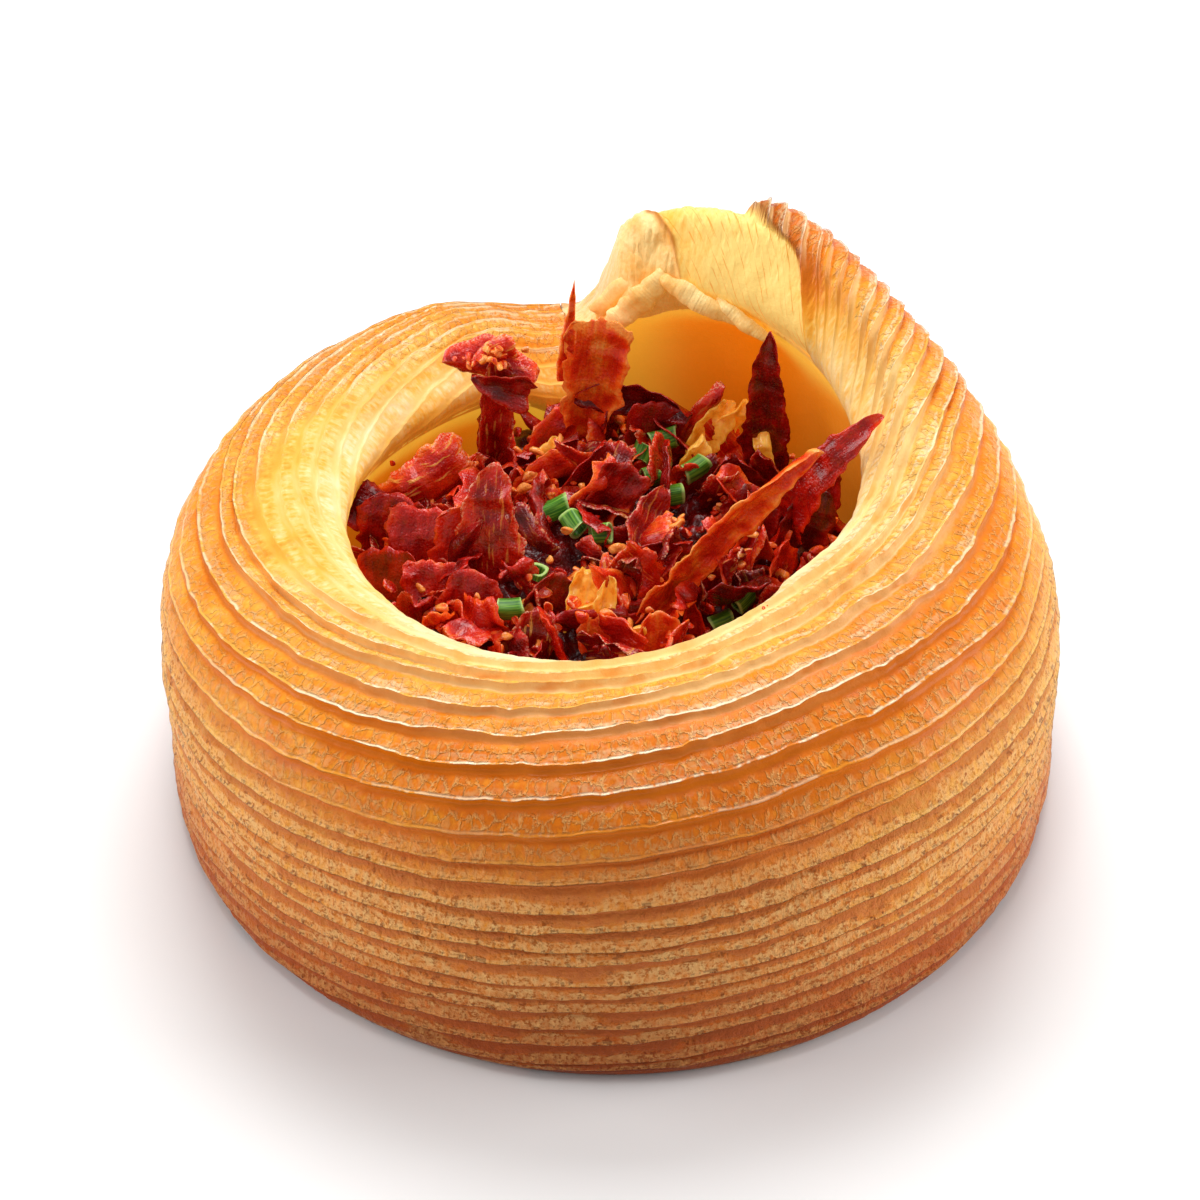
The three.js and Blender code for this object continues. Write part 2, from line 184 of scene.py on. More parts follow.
class Term:
    """A socket in an expression: each operation on it adds the Math node that works it out."""

    def __init__(self, board: Board, socket: bpy.types.NodeSocket) -> None:
        """Keeps the socket and the board that it is on."""
        self.board = board
        self.socket = socket

    def _math(self, operation: str, *values: Any) -> Term:
        """The result of a Math node fed with the values in order."""
        node = self.board.node("ShaderNodeMath", {"operation": operation}, dict(enumerate(values)))
        return Term(self.board, node.outputs[0])

    def __add__(self, other: Any) -> Term:
        """self + other."""
        return self._math("ADD", self, other)

    def __radd__(self, other: Any) -> Term:
        """other + self."""
        return self._math("ADD", other, self)

    def __sub__(self, other: Any) -> Term:
        """self - other."""
        return self._math("SUBTRACT", self, other)

    def __rsub__(self, other: Any) -> Term:
        """other - self."""
        return self._math("SUBTRACT", other, self)

    def __mul__(self, other: Any) -> Term:
        """self * other."""
        return self._math("MULTIPLY", self, other)

    def __rmul__(self, other: Any) -> Term:
        """other * self."""
        return self._math("MULTIPLY", other, self)

    def fraction(self) -> Term:
        """The part of the value after its whole number."""
        return self._math("FRACT", self)

    def least(self, other: Any) -> Term:
        """The smaller of the two values."""
        return self._math("MINIMUM", self, other)

    def step(self, low: float, high: float) -> Term:
        """A soft step that leaves 0 at low and reaches 1 at high."""
        sockets = {"Value": self, "From Min": low, "From Max": high}
        node = self.board.node("ShaderNodeMapRange", {"interpolation_type": "SMOOTHSTEP"}, sockets)
        return Term(self.board, node.outputs[0])

    def window(self, low: float, high: float, soft: float) -> Term:
        """1 between low and high, with soft edges of that width inside them."""
        return self.step(low, low + soft) * (1.0 - self.step(high - soft, high))


class Board:
    """The node tree of one material."""

    def __init__(self, name: str) -> None:
        """Makes an empty material of that name."""
        self.material = bpy.data.materials.new(name)
        self.material.use_nodes = True
        # Faint glows aren't worth sampling as lights.
        self.material.cycles.emission_sampling = "NONE"
        self.tree = self.material.node_tree
        self.tree.nodes.clear()

    def node(self, kind: str, settings: dict[str, Any], sockets: dict[Any, Any]) -> bpy.types.Node:
        """Adds one node.

        Args:
            kind: the node's type.
            settings: its own settings, such as a Math node's operation or a ramp's stops.
            sockets: a value, a colour or a Term for each input, by name or number.

        Returns:
            The node.
        """
        made = self.tree.nodes.new(kind)
        for key, value in settings.items():
            if key == "stops":
                self._set_stops(made.color_ramp, value)
            else:
                setattr(made, key, value)
        for key, value in sockets.items():
            if isinstance(value, Term):
                self.tree.links.new(value.socket, made.inputs[key])
            else:
                made.inputs[key].default_value = value
        return made

    @staticmethod
    def _set_stops(ramp: bpy.types.ColorRamp, stops: Sequence[tuple[float, str]]) -> None:
        """Gives a colour ramp its stops."""
        while len(ramp.elements) > 1:
            ramp.elements.remove(ramp.elements[-1])
        for i, (place, code) in enumerate(stops):
            element = ramp.elements[0] if i == 0 else ramp.elements.new(place)
            element.position = place
            element.color = tint(code)

    def term(self, kind: str, settings: dict[str, Any], sockets: dict[Any, Any], out: Any = 0) -> Term:
        """Adds a node and gives one of its outputs."""
        return Term(self, self.node(kind, settings, sockets).outputs[out])

    def attribute(self, name: str) -> Term:
        """A number kept at the mesh's points."""
        return self.term("ShaderNodeAttribute", {"attribute_name": name}, {}, "Fac")

    def place(self) -> Term:
        """The place on the object, in millimetres."""
        spot = self.term("ShaderNodeTexCoord", {}, {}, "Object")
        return self.term("ShaderNodeVectorMath", {"operation": "SCALE"}, {0: spot, "Scale": 1000.0})

    def spot(self, x: Any, y: Any, z: Any) -> Term:
        """A place made of three values."""
        return self.term("ShaderNodeCombineXYZ", {}, {0: x, 1: y, 2: z})

    def noise(self, place: Term, size: float, detail: float = 2.0, rough: float = 0.5) -> Term:
        """Cloudy noise around 0.5, its lumps of about that size in the place's unit."""
        sockets = {"Vector": place, "Scale": 1.0 / size, "Detail": detail, "Roughness": rough}
        return self.term("ShaderNodeTexNoise", {}, sockets)

    def ramp(self, value: Term, stops: Sequence[tuple[float, str]]) -> Term:
        """A colour read off a row of stops."""
        return self.term("ShaderNodeValToRGB", {"stops": stops}, {0: value})

    def blend(self, low: Any, high: Any, share: Any, way: str = "MIX") -> Term:
        """Mixes two colours.

        Args:
            low: the colour at share 0, as a Term or a colour code.
            high: the colour at share 1, alike.
            share: how far towards high.
            way: the Mix node's blend type.

        Returns:
            The mixed colour.
        """
        low, high = (tint(c) if isinstance(c, str) else c for c in (low, high))
        settings = {"data_type": "RGBA", "blend_type": way, "clamp_factor": True}
        return self.term("ShaderNodeMix", settings, {0: share, 6: low, 7: high}, 2)

    def bump(self, height: Term, deep: float, strength: float = 1.0) -> Term:
        """A normal from a height of 0 to 1, where 1 is that many millimetres."""
        sockets = {"Height": height, "Distance": deep * MM, "Strength": strength}
        return self.term("ShaderNodeBump", {}, sockets)

    def surface(self, sockets: dict[str, Any]) -> bpy.types.Material:
        """Ends the tree in a principled shader with these inputs."""
        shader = self.node("ShaderNodeBsdfPrincipled", {}, sockets)
        self.node("ShaderNodeOutputMaterial", {}, {"Surface": Term(self, shader.outputs[0])})
        return self.material


# ---- Meshes ----------------------------------------------------------------------------------------


@dataclass
class Pile:
    """Gathers the meshes of many small things into one piece."""

    points: list[np.ndarray] = field(default_factory=list)
    faces: list[np.ndarray] = field(default_factory=list)
    values: dict[str, list[np.ndarray]] = field(default_factory=dict)
    count: int = 0

    def add(self, points: np.ndarray, faces: np.ndarray, **values: Any) -> None:
        """Adds one closed mesh.

        Args:
            points: a row of millimetres per point.
            faces: a row of three point numbers per triangle.
            values: numbers kept at the points, by name; a single number holds for all of them.
        """
        self.points.append(points)
        self.faces.append(faces + self.count)
        for name, value in values.items():
            self.values.setdefault(name, []).append(np.broadcast_to(value, len(points)))
        self.count += len(points)

    def piece(
        self, name: str, material: bpy.types.Material, normals: np.ndarray | None = None
    ) -> bpy.types.Object:
        """Makes the object, smooth all over, with its material.

        Args:
            name: the object's name.
            material: its material.
            normals: a direction per point, where the piece goes on into another one.

        Returns:
            The object.
        """
        points = np.concatenate(self.points) * MM
        faces = np.concatenate(self.faces)
        mesh = bpy.data.meshes.new(name)
        mesh.vertices.add(len(points))
        mesh.vertices.foreach_set("co", points.astype(np.float32).ravel())
        mesh.loops.add(faces.size)
        mesh.loops.foreach_set("vertex_index", faces.astype(np.int32).ravel())
        mesh.polygons.add(len(faces))
        mesh.polygons.foreach_set("loop_start", np.arange(0, faces.size, 3, dtype=np.int32))
        mesh.update(calc_edges=True)
        mesh.shade_smooth()
        for key, parts in self.values.items():
            layer = mesh.attributes.new(key, "FLOAT", "POINT")
            layer.data.foreach_set("value", np.concatenate(parts).astype(np.float32))
        if normals is not None:
            mesh.normals_split_custom_set_from_vertices(normals.tolist())
        mesh.materials.append(material)
        made = bpy.data.objects.new(name, mesh)
        bpy.context.scene.collection.objects.link(made)
        return made


def point_normals(points: np.ndarray, faces: np.ndarray) -> np.ndarray:
    """The direction of a smooth surface at each of its points."""
    a, b, c = (points[faces[:, i]] for i in range(3))
    face = np.cross(b - a, c - a)
    total = np.zeros_like(points)
    for axis in range(3):
        for corner in range(3):
            total[:, axis] += np.bincount(faces[:, corner], face[:, axis], len(points))
    return total / np.maximum(np.linalg.norm(total, axis=1, keepdims=True), 1e-12)


def grid_faces(rows: int, columns: int, start: int = 0, flip: bool = False) -> np.ndarray:
    """The triangles of a net of points.

    Args:
        rows: how many rows of points.
        columns: how many points in a row.
        start: the number of the first point.
        flip: whether the faces look the other way.

    Returns:
        A row of three point numbers per triangle.
    """
    a = (np.arange(rows - 1)[:, None] * columns + np.arange(columns - 1)[None]).ravel() + start
    b, c, d = a + 1, a + columns + 1, a + columns
    faces = np.concatenate([np.stack([a, b, c], 1), np.stack([a, c, d], 1)])
    return faces[:, ::-1] if flip else faces


def settle(piece: bpy.types.Object, node: str) -> None:
    """Puts a piece on the part in the stead of a CAD node and reports it."""
    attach(piece, "root")
    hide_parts(node)
    LOG.info("%s: %d faces", piece.name, len(piece.data.polygons))


# ---- The roll --------------------------------------------------------------------------------------


@dataclass(frozen=True)
class RollShape:
    """The roll's own form: its cross sections along the coil and the flow of its layers.

    Attributes:
        foot_radius: the radius at the foot.
        foot_lift: the height of the foot's rounded edge.
        wall_radius: the radius of the wall.
        mouth_radius: the radius of the mouth, before it is drawn out of round.
        hollow_radius: the radius of the hollow below the mouth.
        floor_height: the height of the hollow's floor.
        tail_end: the turn angle at which the coil ends.
        lip_row: the control point at which share 1 lies.
        ridge_depth: how far the ridges stand out where they are deepest.
        ridge_apex: the turn angle at which the layers lie highest.
    """

    foot_radius: float = 48.8
    foot_lift: float = 0.5
    wall_radius: float = 49.6
    mouth_radius: float = 25.6
    hollow_radius: float = 31.5
    floor_height: float = 11.0
    tail_end: float = 98.0
    lip_row: int = 9
    ridge_depth: float = 0.95
    ridge_apex: float = -58.0

    @property
    def joint(self) -> float:
        """The turn angle at which the coil begins, under the tail."""
        return self.tail_end - 360.0

    def crest(self, turn: Any) -> Any:
        """The height of the crest along the coil."""
        keys = [
            (self.joint, 34.3), (-256, 35), (-249, 37), (-239, 38.4), (-228, 38.4), (-180, 40.2),
            (-90, 42.3), (-20, 44.9), (10, 48.4), (38, 54.2), (50, 55.6), (58, 55.9),
            (67, 55.5), (76, 54.4), (84, 52.8),
        ]  # fmt: skip
        return keyed(keys, turn)

    def mouth(self, turn: Any) -> Any:
        """How far the mouth's lip lies outside a true circle."""
        keys = [
            (self.joint, 1.5), (-175, 3.5), (-145, 2.5), (-110, 0.5), (-75, -1), (-40, -1.9),
            (-18, 0), (5, 1.2), (60, 0.4),
        ]  # fmt: skip
        return keyed(keys, turn)

    def rows(self, turn: float) -> np.ndarray:
        """The control points of the cross section at a turn angle, as radius and height."""
        rim, wall, base = self.mouth_radius, self.wall_radius, self.floor_height + 1
        ring = np.array([
            (self.foot_radius, 0, self.foot_lift), (49.7, 0, 3), (wall, 0, 12), (wall, 0.58, 0),
            (46.6, 0.83, 0), (40.6, 0.955, 0), (34.3, 1, 0), (29.3, 1, -1), (rim, 1, -3),
            (26.4, 1, -6.2), (30, 1, -13), (self.hollow_radius, 0, 20), (29, 0, base),
        ])  # fmt: skip
        tail = np.array([
            (self.foot_radius, 0, self.foot_lift), (49.7, 0, 3), (wall, 0, 12), (49, 0.46, 0),
            (45.3, 0.7, 0), (40, 0.89, 0), (33.6, 1, 0), (29.6, 1, -2.8), (27, 1, -7.2),
            (28.2, 1, -11), (31.6, 1, -19), (32.3, 0, 23), (29, 0, base),
        ])  # fmt: skip
        slim_rows = np.array([0, 0, 0, 0.3, 1, 1, 0.5, 0, 0, 0, 0, 0, 0])
        mouth_rows = np.array([0, 0, 0, 0, 0, 0, 0, 0.6, 1, 1, 0.7, 0.3, 0])
        torn = keyed([(84.5, 1), (88, 0.9), (90.3, 0.6), (93, 0.18), (97, 0)], turn)
        crest = mix(self.crest(self.joint), self.crest(turn), torn)
        share = smooth(-35, 60, turn) * torn
        slim = keyed([(-60, 0), (10, 1.2), (45, 0.9), (75, 0.4), (self.tail_end, 0)], turn)
        full = smooth(self.joint, -200, turn) * (1.0 - smooth(-150, -60, turn))
        spread = (0.8 * full - slim) * slim_rows + self.mouth(turn) * mouth_rows
        radius = mix(ring[:, 0], tail[:, 0], share) + spread
        height = mix(ring[:, 1] * crest + ring[:, 2], tail[:, 1] * crest + tail[:, 2], share)
        return np.stack([radius, height], 1)

    def sink(self, turn: Any) -> Any:
        """How far the layers have sunk towards the foot, as a share."""
        past = np.asarray(turn, float) - self.ridge_apex
        left = 0.0025 * (np.hypot(past, 74.0) - 74.0)
        right = 0.001 * past + 0.08 * np.log1p(np.exp((np.asarray(turn, float) - 10.0) / 8.0))
        return np.where(past < 0, left, right)

    @staticmethod
    def number(level: Any) -> Any:
        """The number of the layer at a level: close at the foot, wider at the shoulder."""
        bend = 0.85
        low = np.minimum(level, bend)
        return 27.8 * low - 6.5 * low * low + 25.0 * np.maximum(np.asarray(level) - bend, 0.0)

    def depth(self, share: Any, turn: float) -> Any:
        """The depth of the ridges, fading out at the foot and on the smooth inner lip."""
        low = mix(0.58, 1.0, smooth(0.1, 0.45, share))
        fade = 1.0 - 0.85 * self.plain(share, turn)
        return self.ridge_depth * low * smooth(0, 0.05, share) * fade

    def plain(self, share: Any, turn: Any) -> Any:
        """How far the ridges have died away on the smooth inner lip, from 0 to 1."""
        keys = [
            (self.joint, 0.87), (-250, 0.86), (-235, 0.84), (-209, 0.8), (-185, 0.745), (-164, 0.76),
            (-146, 0.86), (-120, 0.91), (-90, 0.94), (-40, 0.94), (0, 0.92), (25, 0.87), (45, 0.84),
            (60, 0.84),
        ]  # fmt: skip
        edge = keyed(keys, turn)
        return smooth(0.0, 0.07, np.asarray(share) - edge + 0.045)

    def inner_radius(self, turn: float, height: np.ndarray) -> np.ndarray:
        """The radius of the hollow's wall at each height, from the floor up to the crest."""
        rows = self.rows(turn)[6:][::-1]
        return np.interp(height, rows[:, 1], rows[:, 0])


class Spline:
    """A smooth curve through the control points of a cross section."""

    def __init__(self, rows: np.ndarray, lip_row: int) -> None:
        """Measures the curve.

        Args:
            rows: the control points.
            lip_row: the row at which share 1 lies.
        """
        self.rows = rows
        self.spans = len(rows) - 1
        self.places = np.linspace(0.0, 1.0, 241)
        spots = self.at(self.places)[0]
        steps = np.hypot(*np.diff(spots, axis=0).T)
        self.lengths = np.concatenate([[0.0], np.cumsum(steps)])
        self.ridged = float(np.interp(lip_row / self.spans, self.places, self.lengths))

    def at(self, places: np.ndarray) -> tuple[np.ndarray, np.ndarray]:
        """The points of the curve at parameters of 0 to 1, and its directions there."""
        x = np.asarray(places, float) * self.spans
        i = np.clip(np.floor(x).astype(int), 0, self.spans - 1)
        t = (x - i)[:, None]
        before = self.rows[np.maximum(i - 1, 0)]
        low, high = self.rows[i], self.rows[i + 1]
        after = self.rows[np.minimum(i + 2, self.spans)]
        start, end = (high - before) / 2.0, (after - low) / 2.0
        cubic, square = 2 * low - 2 * high + start + end, -3 * low + 3 * high - 2 * start - end
        spots = ((cubic * t + square) * t + start) * t + low
        along = (3 * cubic * t + 2 * square) * t + start
        return spots, along / np.linalg.norm(along, axis=1, keepdims=True)

    def parameter(self, share: np.ndarray) -> np.ndarray:
        """The curve's parameter at each share."""
        return np.interp(share * self.ridged, self.lengths, self.places)


@dataclass
class Strip:
    """One upright line of points on the roll's skin.

    Attributes:
        key: what matches each point with those of the next strip.
        share: where each point lies between foot and lip.
        layer: the number of its layer, with the place within the layer as a fraction.
        turn: the strip's turn angle.
        points: the places of the points.
        first: the number of the first point in the whole skin.
    """

    key: np.ndarray
    share: np.ndarray
    layer: np.ndarray
    turn: float
    points: np.ndarray
    first: int = 0


@dataclass(frozen=True)
class CrustFinish:
    """Baked laminated dough: pale where it was sheltered, golden to brown outside, glazed on top.

    Attributes:
        baking: the skin's colours from unbaked to brown.
        groove: the clear dough between two ridges on the shoulder.
        pale_groove: the same near the lip of the hollow.
        foam: the walls between blisters.
        fleck: pale flecks just above a ridge's lip.
        shine: the lips of the ridges, pale and glazed, whitened further by a painted highlight.
        tan: the porous bands of the wall.
        pits: the pores in them.
        rosy: the smooth bands of the wall.
        amber: the seam between the two kinds of band.
        scorched: cracks and holes.
        foot: what the skin is multiplied by at the foot.
        face: the pale face of the tail.
        face_warm: its warmer parts.
        slit: the gaps between its layers.
        crumb: the torn crumb.
        crumb_warm: its warmer parts.
        hollow: the wall of the hollow at its lip.
        hollow_deep: the same further down.
        edging: the browned torn edges.
        glow: a painted glow, emitted, that stands in for light shining through thin dough.
        glow_deep: the same painted glow deep in the hollow.
    """

    baking: tuple[tuple[float, str], ...] = (
        (0.0, "FFE6B4"), (0.14, "FDD284"), (0.28, "FAB648"), (0.42, "F09422"),
        (0.56, "E2760E"), (0.7, "D0650C"), (0.85, "A94E0C"), (1.0, "6E330A"),
    )  # fmt: skip
    groove: str = "D66A02"
    pale_groove: str = "FFDE98"
    foam: str = "F4BE70"
    fleck: str = "FFEABC"
    shine: str = "FFECC4"
    tan: str = "F6C27A"
    pits: str = "B4662A"
    rosy: str = "C4703E"
    amber: str = "DA6E06"
    scorched: str = "7A3208"
    foot: str = "C8884E"
    face: str = "FFDD86"
    face_warm: str = "FAAE40"
    slit: str = "E08414"
    crumb: str = "FCDD9C"
    crumb_warm: str = "EFA24A"
    hollow: str = "FCCB6A"
    hollow_deep: str = "FA9A20"
    edging: str = "B8641C"
    glow: str = "FFC838"
    glow_deep: str = "F07800"

    def material(self) -> bpy.types.Material:
        """Builds the material from the numbers kept at the skin's points."""
        b = Board("baked_crust")
        names = ("layer", "arc", "share", "bake", "pale", "cream", "line", "deep", "glow", "plain")
        layer, arc, share, bake, pale, cream, line, deep, glow, plain = map(b.attribute, names)
        # Noise that runs along the layers, over the skin and in clouds.
        streaky = b.noise(b.spot(arc * 0.22, layer * 3.0, share * 9.0), 1.1, 2.0)
        wisp = b.noise(b.spot(arc, share * 26.0, layer * 0.6), 0.7, 2.0, 0.6)
        pores = b.noise(b.place(), 0.5, 2.0, 0.7)
        cloud = b.noise(b.spot(arc, layer * 3.0, share * 9.0), 6.0, 1.0)
        # Where a point lies on its ridge: on the lip, the band above it or the groove between two.
        phase = layer.fraction()
        frayed = phase + (pores - 0.5) * 0.22
        lip = 1.0 - phase.step(0.06, 0.14)
        groove = frayed.window(0.68, 1.1, 0.14)
        band = (1.0 - frayed.step(0.56, 0.76)) * (1.0 - lip)
        upper = share.step(0.4, 0.58)
        low = 1.0 - upper
        ridged = (1.0 - plain) * (1.0 - pale) * (1.0 - cream)
        high = upper * ridged
        low_wall = low * ridged
        # The baking, from pale to brown.
        level = bake + (wisp - 0.5) * 0.5 * band + (cloud - 0.5) * 0.24 + (streaky - 0.5) * 0.24
        # Grooves a little darker, lips a little paler; the paler lips are partly a painted highlight.
        level = level + ridged * (groove * 0.08 - lip * 0.1)
        colour = b.ramp(level, self.baking)
        # The shoulder: clear amber grooves, and bands blistered into small cells.
        groove_tone = b.blend(self.groove, self.pale_groove, share.step(0.64, 0.88))
        colour = b.blend(colour, groove_tone, groove * high * (0.75 - streaky.step(0.5, 0.7) * 0.4))
        net = b.spot(arc + (wisp - 0.5) * 1.6, share * 58.0 + (pores - 0.5) * 1.2, 0.0)
        cellular = {"feature": "DISTANCE_TO_EDGE", "voronoi_dimensions": "2D"}
        blister = b.term("ShaderNodeTexVoronoi", cellular, {"Vector": net, "Scale": 0.7})
        walls = 1.0 - (blister + (pores - 0.5) * 0.12).step(0.0, 0.16)
        foam = walls * pores.step(0.3, 0.56) * 0.8 + wisp.step(0.5, 0.62) * 0.45
        colour = b.blend(colour, self.foam, foam * band * high * 0.6)
        flecks = phase.window(0.0, 0.4, 0.06) * streaky.step(0.44, 0.56) * pores.step(0.36, 0.52)
        colour = b.blend(colour, self.fleck, flecks * ridged * share.step(0.55, 0.85) * 0.5)
        # The wall: porous tan bands that fade into smooth rosy ones, with scorched cracks between.
        porous = b.blend(self.tan, self.pits, pores.step(0.46, 0.66) * 0.9 + (wisp - 0.5) * 0.5)
        border = 0.44 + (cloud - 0.5) * 1.0 + (streaky - 0.5) * 0.9 + (pores - 0.5) * 0.3 - frayed
        broad = border.step(-0.24, 0.18)
        colour = b.blend(colour, self.rosy, (1.0 - broad) * low_wall * 0.66)
        colour = b.blend(colour, porous, broad * low_wall * (0.64 + (wisp - 0.5) * 1.8))
        seam = border.window(-0.14, 0.06, 0.07)
        clear = seam * 0.5 + phase.window(0.82, 1.0, 0.06)
        colour = b.blend(colour, self.amber, clear * low_wall * 0.8)
        cracks = phase.window(0.8, 1.04, 0.06) * streaky.step(0.36, 0.5)
        holes = (frayed.window(0.0, 0.16, 0.05) + seam) * wisp.step(0.55, 0.63)
        colour = b.blend(colour, self.scorched, (cracks + holes * 0.6).least(1.0) * low_wall * 0.85)
        foot = (1.0 - share.step(0.0, 0.28)) * ridged
        # The lips: partly their own pale glaze, partly a painted highlight that is whitest along the
        # front.
        front = arc.window(-150.0, 6.0, 50.0)
        shine = lip * ridged * share.step(0.5, 0.66) * (streaky + (wisp - 0.5) * 0.6).step(0.42, 0.58)
        colour = b.blend(colour, self.shine, shine * (0.5 + front * 0.3))
        colour = b.blend(colour, self.foot, foot * 0.7, "MULTIPLY")
        # The pale face of the tail, the torn crumb, the hollow and the browned edges.
        dashes = b.noise(b.spot(arc * 0.4, layer * 14.4, share * 14.0), 1.0, 1.0)
        striae = (layer * 1.9 + (streaky - 0.5) * 0.5).fraction()
        slits = striae.window(0.62, 0.92, 0.1) * dashes.step(0.5, 0.6)
        warm = arc.step(50.0, 66.0) * 0.7 + (wisp - 0.5) * 1.5 + (cloud - 0.5) * 0.8
        face = b.blend(b.blend(self.face, self.face_warm, warm), self.slit, slits * 0.7)
        colour = b.blend(colour, face, pale)
        crumb_shade = cloud.step(0.3, 0.7) * 0.8 + (pores - 0.5) * 0.8
        colour = b.blend(colour, b.blend(self.crumb, self.crumb_warm, crumb_shade), cream)
        # Deeper in the hollow the wall turns from cream to orange: partly the inner dough's own colour,
        # partly painted light shining through it.
        inside = b.blend(self.hollow, self.hollow_deep, deep + (cloud - 0.5) * 0.3)
        colour = b.blend(colour, inside, share.step(HOLLOW_FROM, 1.04))
        colour = b.blend(colour, self.edging, line)
        relief = ridged * (band * (wisp * 0.5 + walls * upper * 0.4) + low * pores * 0.8)
        relief = relief + cream * wisp * 0.7 + pores * 0.2
        # Painted glow: emission that stands in for light shining through thin dough, with a little along
        # the grooves of the shoulder.
        through = glow + groove * high * 0.06
        glowing = b.blend(DARK, b.blend(self.glow, self.glow_deep, deep), through)
        return b.surface({
            "Base Color": colour,
            "Roughness": 0.5 - groove * 0.1 - lip * 0.16 + (pores - 0.5) * 0.3,
            "Coat Weight": (0.1 + upper * 0.4) * (0.2 + lip * ridged * 0.8),
            "Coat Roughness": 0.14,
            "Specular IOR Level": 0.18,
            "IOR": 1.4,
            "Emission Color": glowing,
            "Emission Strength": 0.5,
            "Normal": b.bump(relief, 0.42, 0.85),
        })  # fmt: skip


@dataclass
class Roll:
    """The coil of laminated dough, from its base up, over its crest and down into its hollow.

    Attributes:
        shape: its own form.
        finish: its look.
        phases: where the points across one ridge lie, from its lip at 0 to the next lip at 1.
        lifts: how far each of them stands out, as a share of the ridges' depth.
        stretches: the first and last turn angle and the number of strips of each stretch.
        cell_size: the width of one blister.
        own_from: the phase from which a point belongs to the ridge above it.
        ridge_gap: the step from one ridge to the next in the noise that makes their lips uneven.
        face_radius: the radius at which distances round the tail's face are measured.
        skin_radius: the radius at which the material's places round the skin are measured.
        hollow_arc_radius: the same for the hollow.
        hollow_steps: how many points the hollow has from its lip down to the floor.
        deepens: how far below the lip the hollow begins to redden, by turn angle.
        deepest: how far below the lip it is reddest, alike.
        ruddy: how red it gets, alike.
        lit: how strong its painted glow is, standing in for light shining through it, alike.
    """

    shape: RollShape = field(default_factory=RollShape)
    finish: CrustFinish = field(default_factory=CrustFinish)
    phases: tuple[float, ...] = (0.0, 0.035, 0.12, 0.3, 0.48, 0.62, 0.74, 0.86, 0.95)
    lifts: tuple[float, ...] = (0.46, 0.38, 0.24, 0.16, 0.06, -0.12, -0.34, -0.4, -0.1)
    stretches: tuple[tuple[float, float, int], ...] = (
        (-262.0, 14.0, 520), (14.0, 40.0, 76), (40.0, 90.0, 200), (90.0, 98.0, 32),
    )  # fmt: skip
    cell_size: float = 2.1
    own_from: float = 0.6
    ridge_gap: float = 37.0
    face_radius: float = 38.0
    skin_radius: float = 44.0
    hollow_arc_radius: float = 28.0
    hollow_steps: int = 40
    deepens: Keys = ((-262, 0.0), (-235, 1.0), (20, 3.0), (44, 4.0), (56, 0.0))
    deepest: Keys = ((-262, 6.0), (-235, 6.0), (20, 9.0), (44, 10.0), (56, 4.0))
    ruddy: Keys = ((-262, 0.05), (-235, 0.9), (20, 0.7), (44, 0.85), (56, 1.0), (72, 0.8), (88, 0.05))
    lit: Keys = ((-262, 1.0), (-240, 1.1), (-200, 1.0), (-100, 0.3), (20, 0.7), (44, 0.9), (60, 1.0))

    def lobe_edge(self, share: Any) -> Any:
        """The turn angle at which the brown lobe of the tail ends and its pale face begins."""
        keys = [(0.0, 92.0), (0.5, 90.0), (0.58, 82.0), (0.66, 71.5), (0.72, 67.0), (0.77, 65.0),
                (0.8, 63.6), (0.82, 58.0), (0.84, 50.0), (0.88, 45.5), (0.93, 40.0),
                (1.0, 34.0)]  # fmt: skip
        return keyed(keys, share)

    def cut_edge(self, share: Any) -> Any:
        """The turn angle of the torn edge of the tail's crust."""
        keys = [(0.0, 97.0), (0.5, 93.0), (0.6, 88.0), (0.7, 85.0), (0.78, 83.5), (0.82, 80.5),
                (0.86, 77.0), (1.0, 72.0)]  # fmt: skip
        return keyed(keys, share)

    def ridges(self, turn: float, arc: float) -> tuple[np.ndarray, np.ndarray, np.ndarray]:
        """The points up a strip, each ridge's points following the ridge round the coil.

        Args:
            turn: the strip's turn angle.
            arc: how far round the wall that is, in millimetres.

        Returns:
            The share, the layer number and the lift of each point, from the foot to the lip.
        """
        shape = self.shape
        levels = np.linspace(0.0, 1.0, 401)
        numbers = shape.number(levels + float(shape.sink(turn)))
        whole = np.arange(math.floor(numbers[0]) - 1, math.ceil(numbers[-1]) + 2)
        ridge = np.stack([np.full(len(whole), arc), whole * self.ridge_gap, np.zeros(len(whole))], 1)
        offset = 0.36 * (scatter(whole) - 0.5)
        offset += 0.09 * wander(ridge, 9.0, 1) + 0.05 * wander(ridge, 2.8, 2)
        offset += 0.03 * wander(ridge, 1.1, 4)
        ragged = 0.24 * wander(ridge, 2.2, 3) + 0.3 * wander(ridge, 14.0, 4)
        share, layer, lift = [], [], []
        for phase, rise in zip(self.phases, self.lifts):
            base, above = offset[:-1], offset[1:]
            number = whole[:-1] + phase + mix(base, above, phase)
            at = np.interp(number, numbers, levels)
            owner = whole[:-1] + (phase > self.own_from)
            rough = ragged[1:] if phase > self.own_from else ragged[:-1]
            weight = mix(0.75, 1.25, scatter(owner + 50)) * (1.0 + rough)
            share.append(at)
            layer.append(whole[:-1] + phase)
            crusty = 1.0 - smooth(-0.5, 2.0, turn - self.cut_edge(at)) * smooth(0.5, 0.62, at)
            crusty *= 1.0 - 0.75 * smooth(-5.0, 0.5, turn - self.lobe_edge(at)) * smooth(0.5, 0.62, at)
            lift.append(rise * shape.depth(at, turn) * weight * crusty)
        share, layer, lift = (np.concatenate(part) for part in (share, layer, lift))
        order = np.argsort(layer)
        share, layer, lift = share[order], layer[order], lift[order]
        kept = (share > 0.008) & (share < 0.994)
        share, layer, lift = share[kept], layer[kept], lift[kept]
        share = np.concatenate([[0.0], share, [1.0]])
        layer = np.concatenate([[layer[0] - 0.05], layer, [layer[-1] + 0.05]])
        lift = np.concatenate([[0.0], lift, [0.0]])
        return share, layer, lift

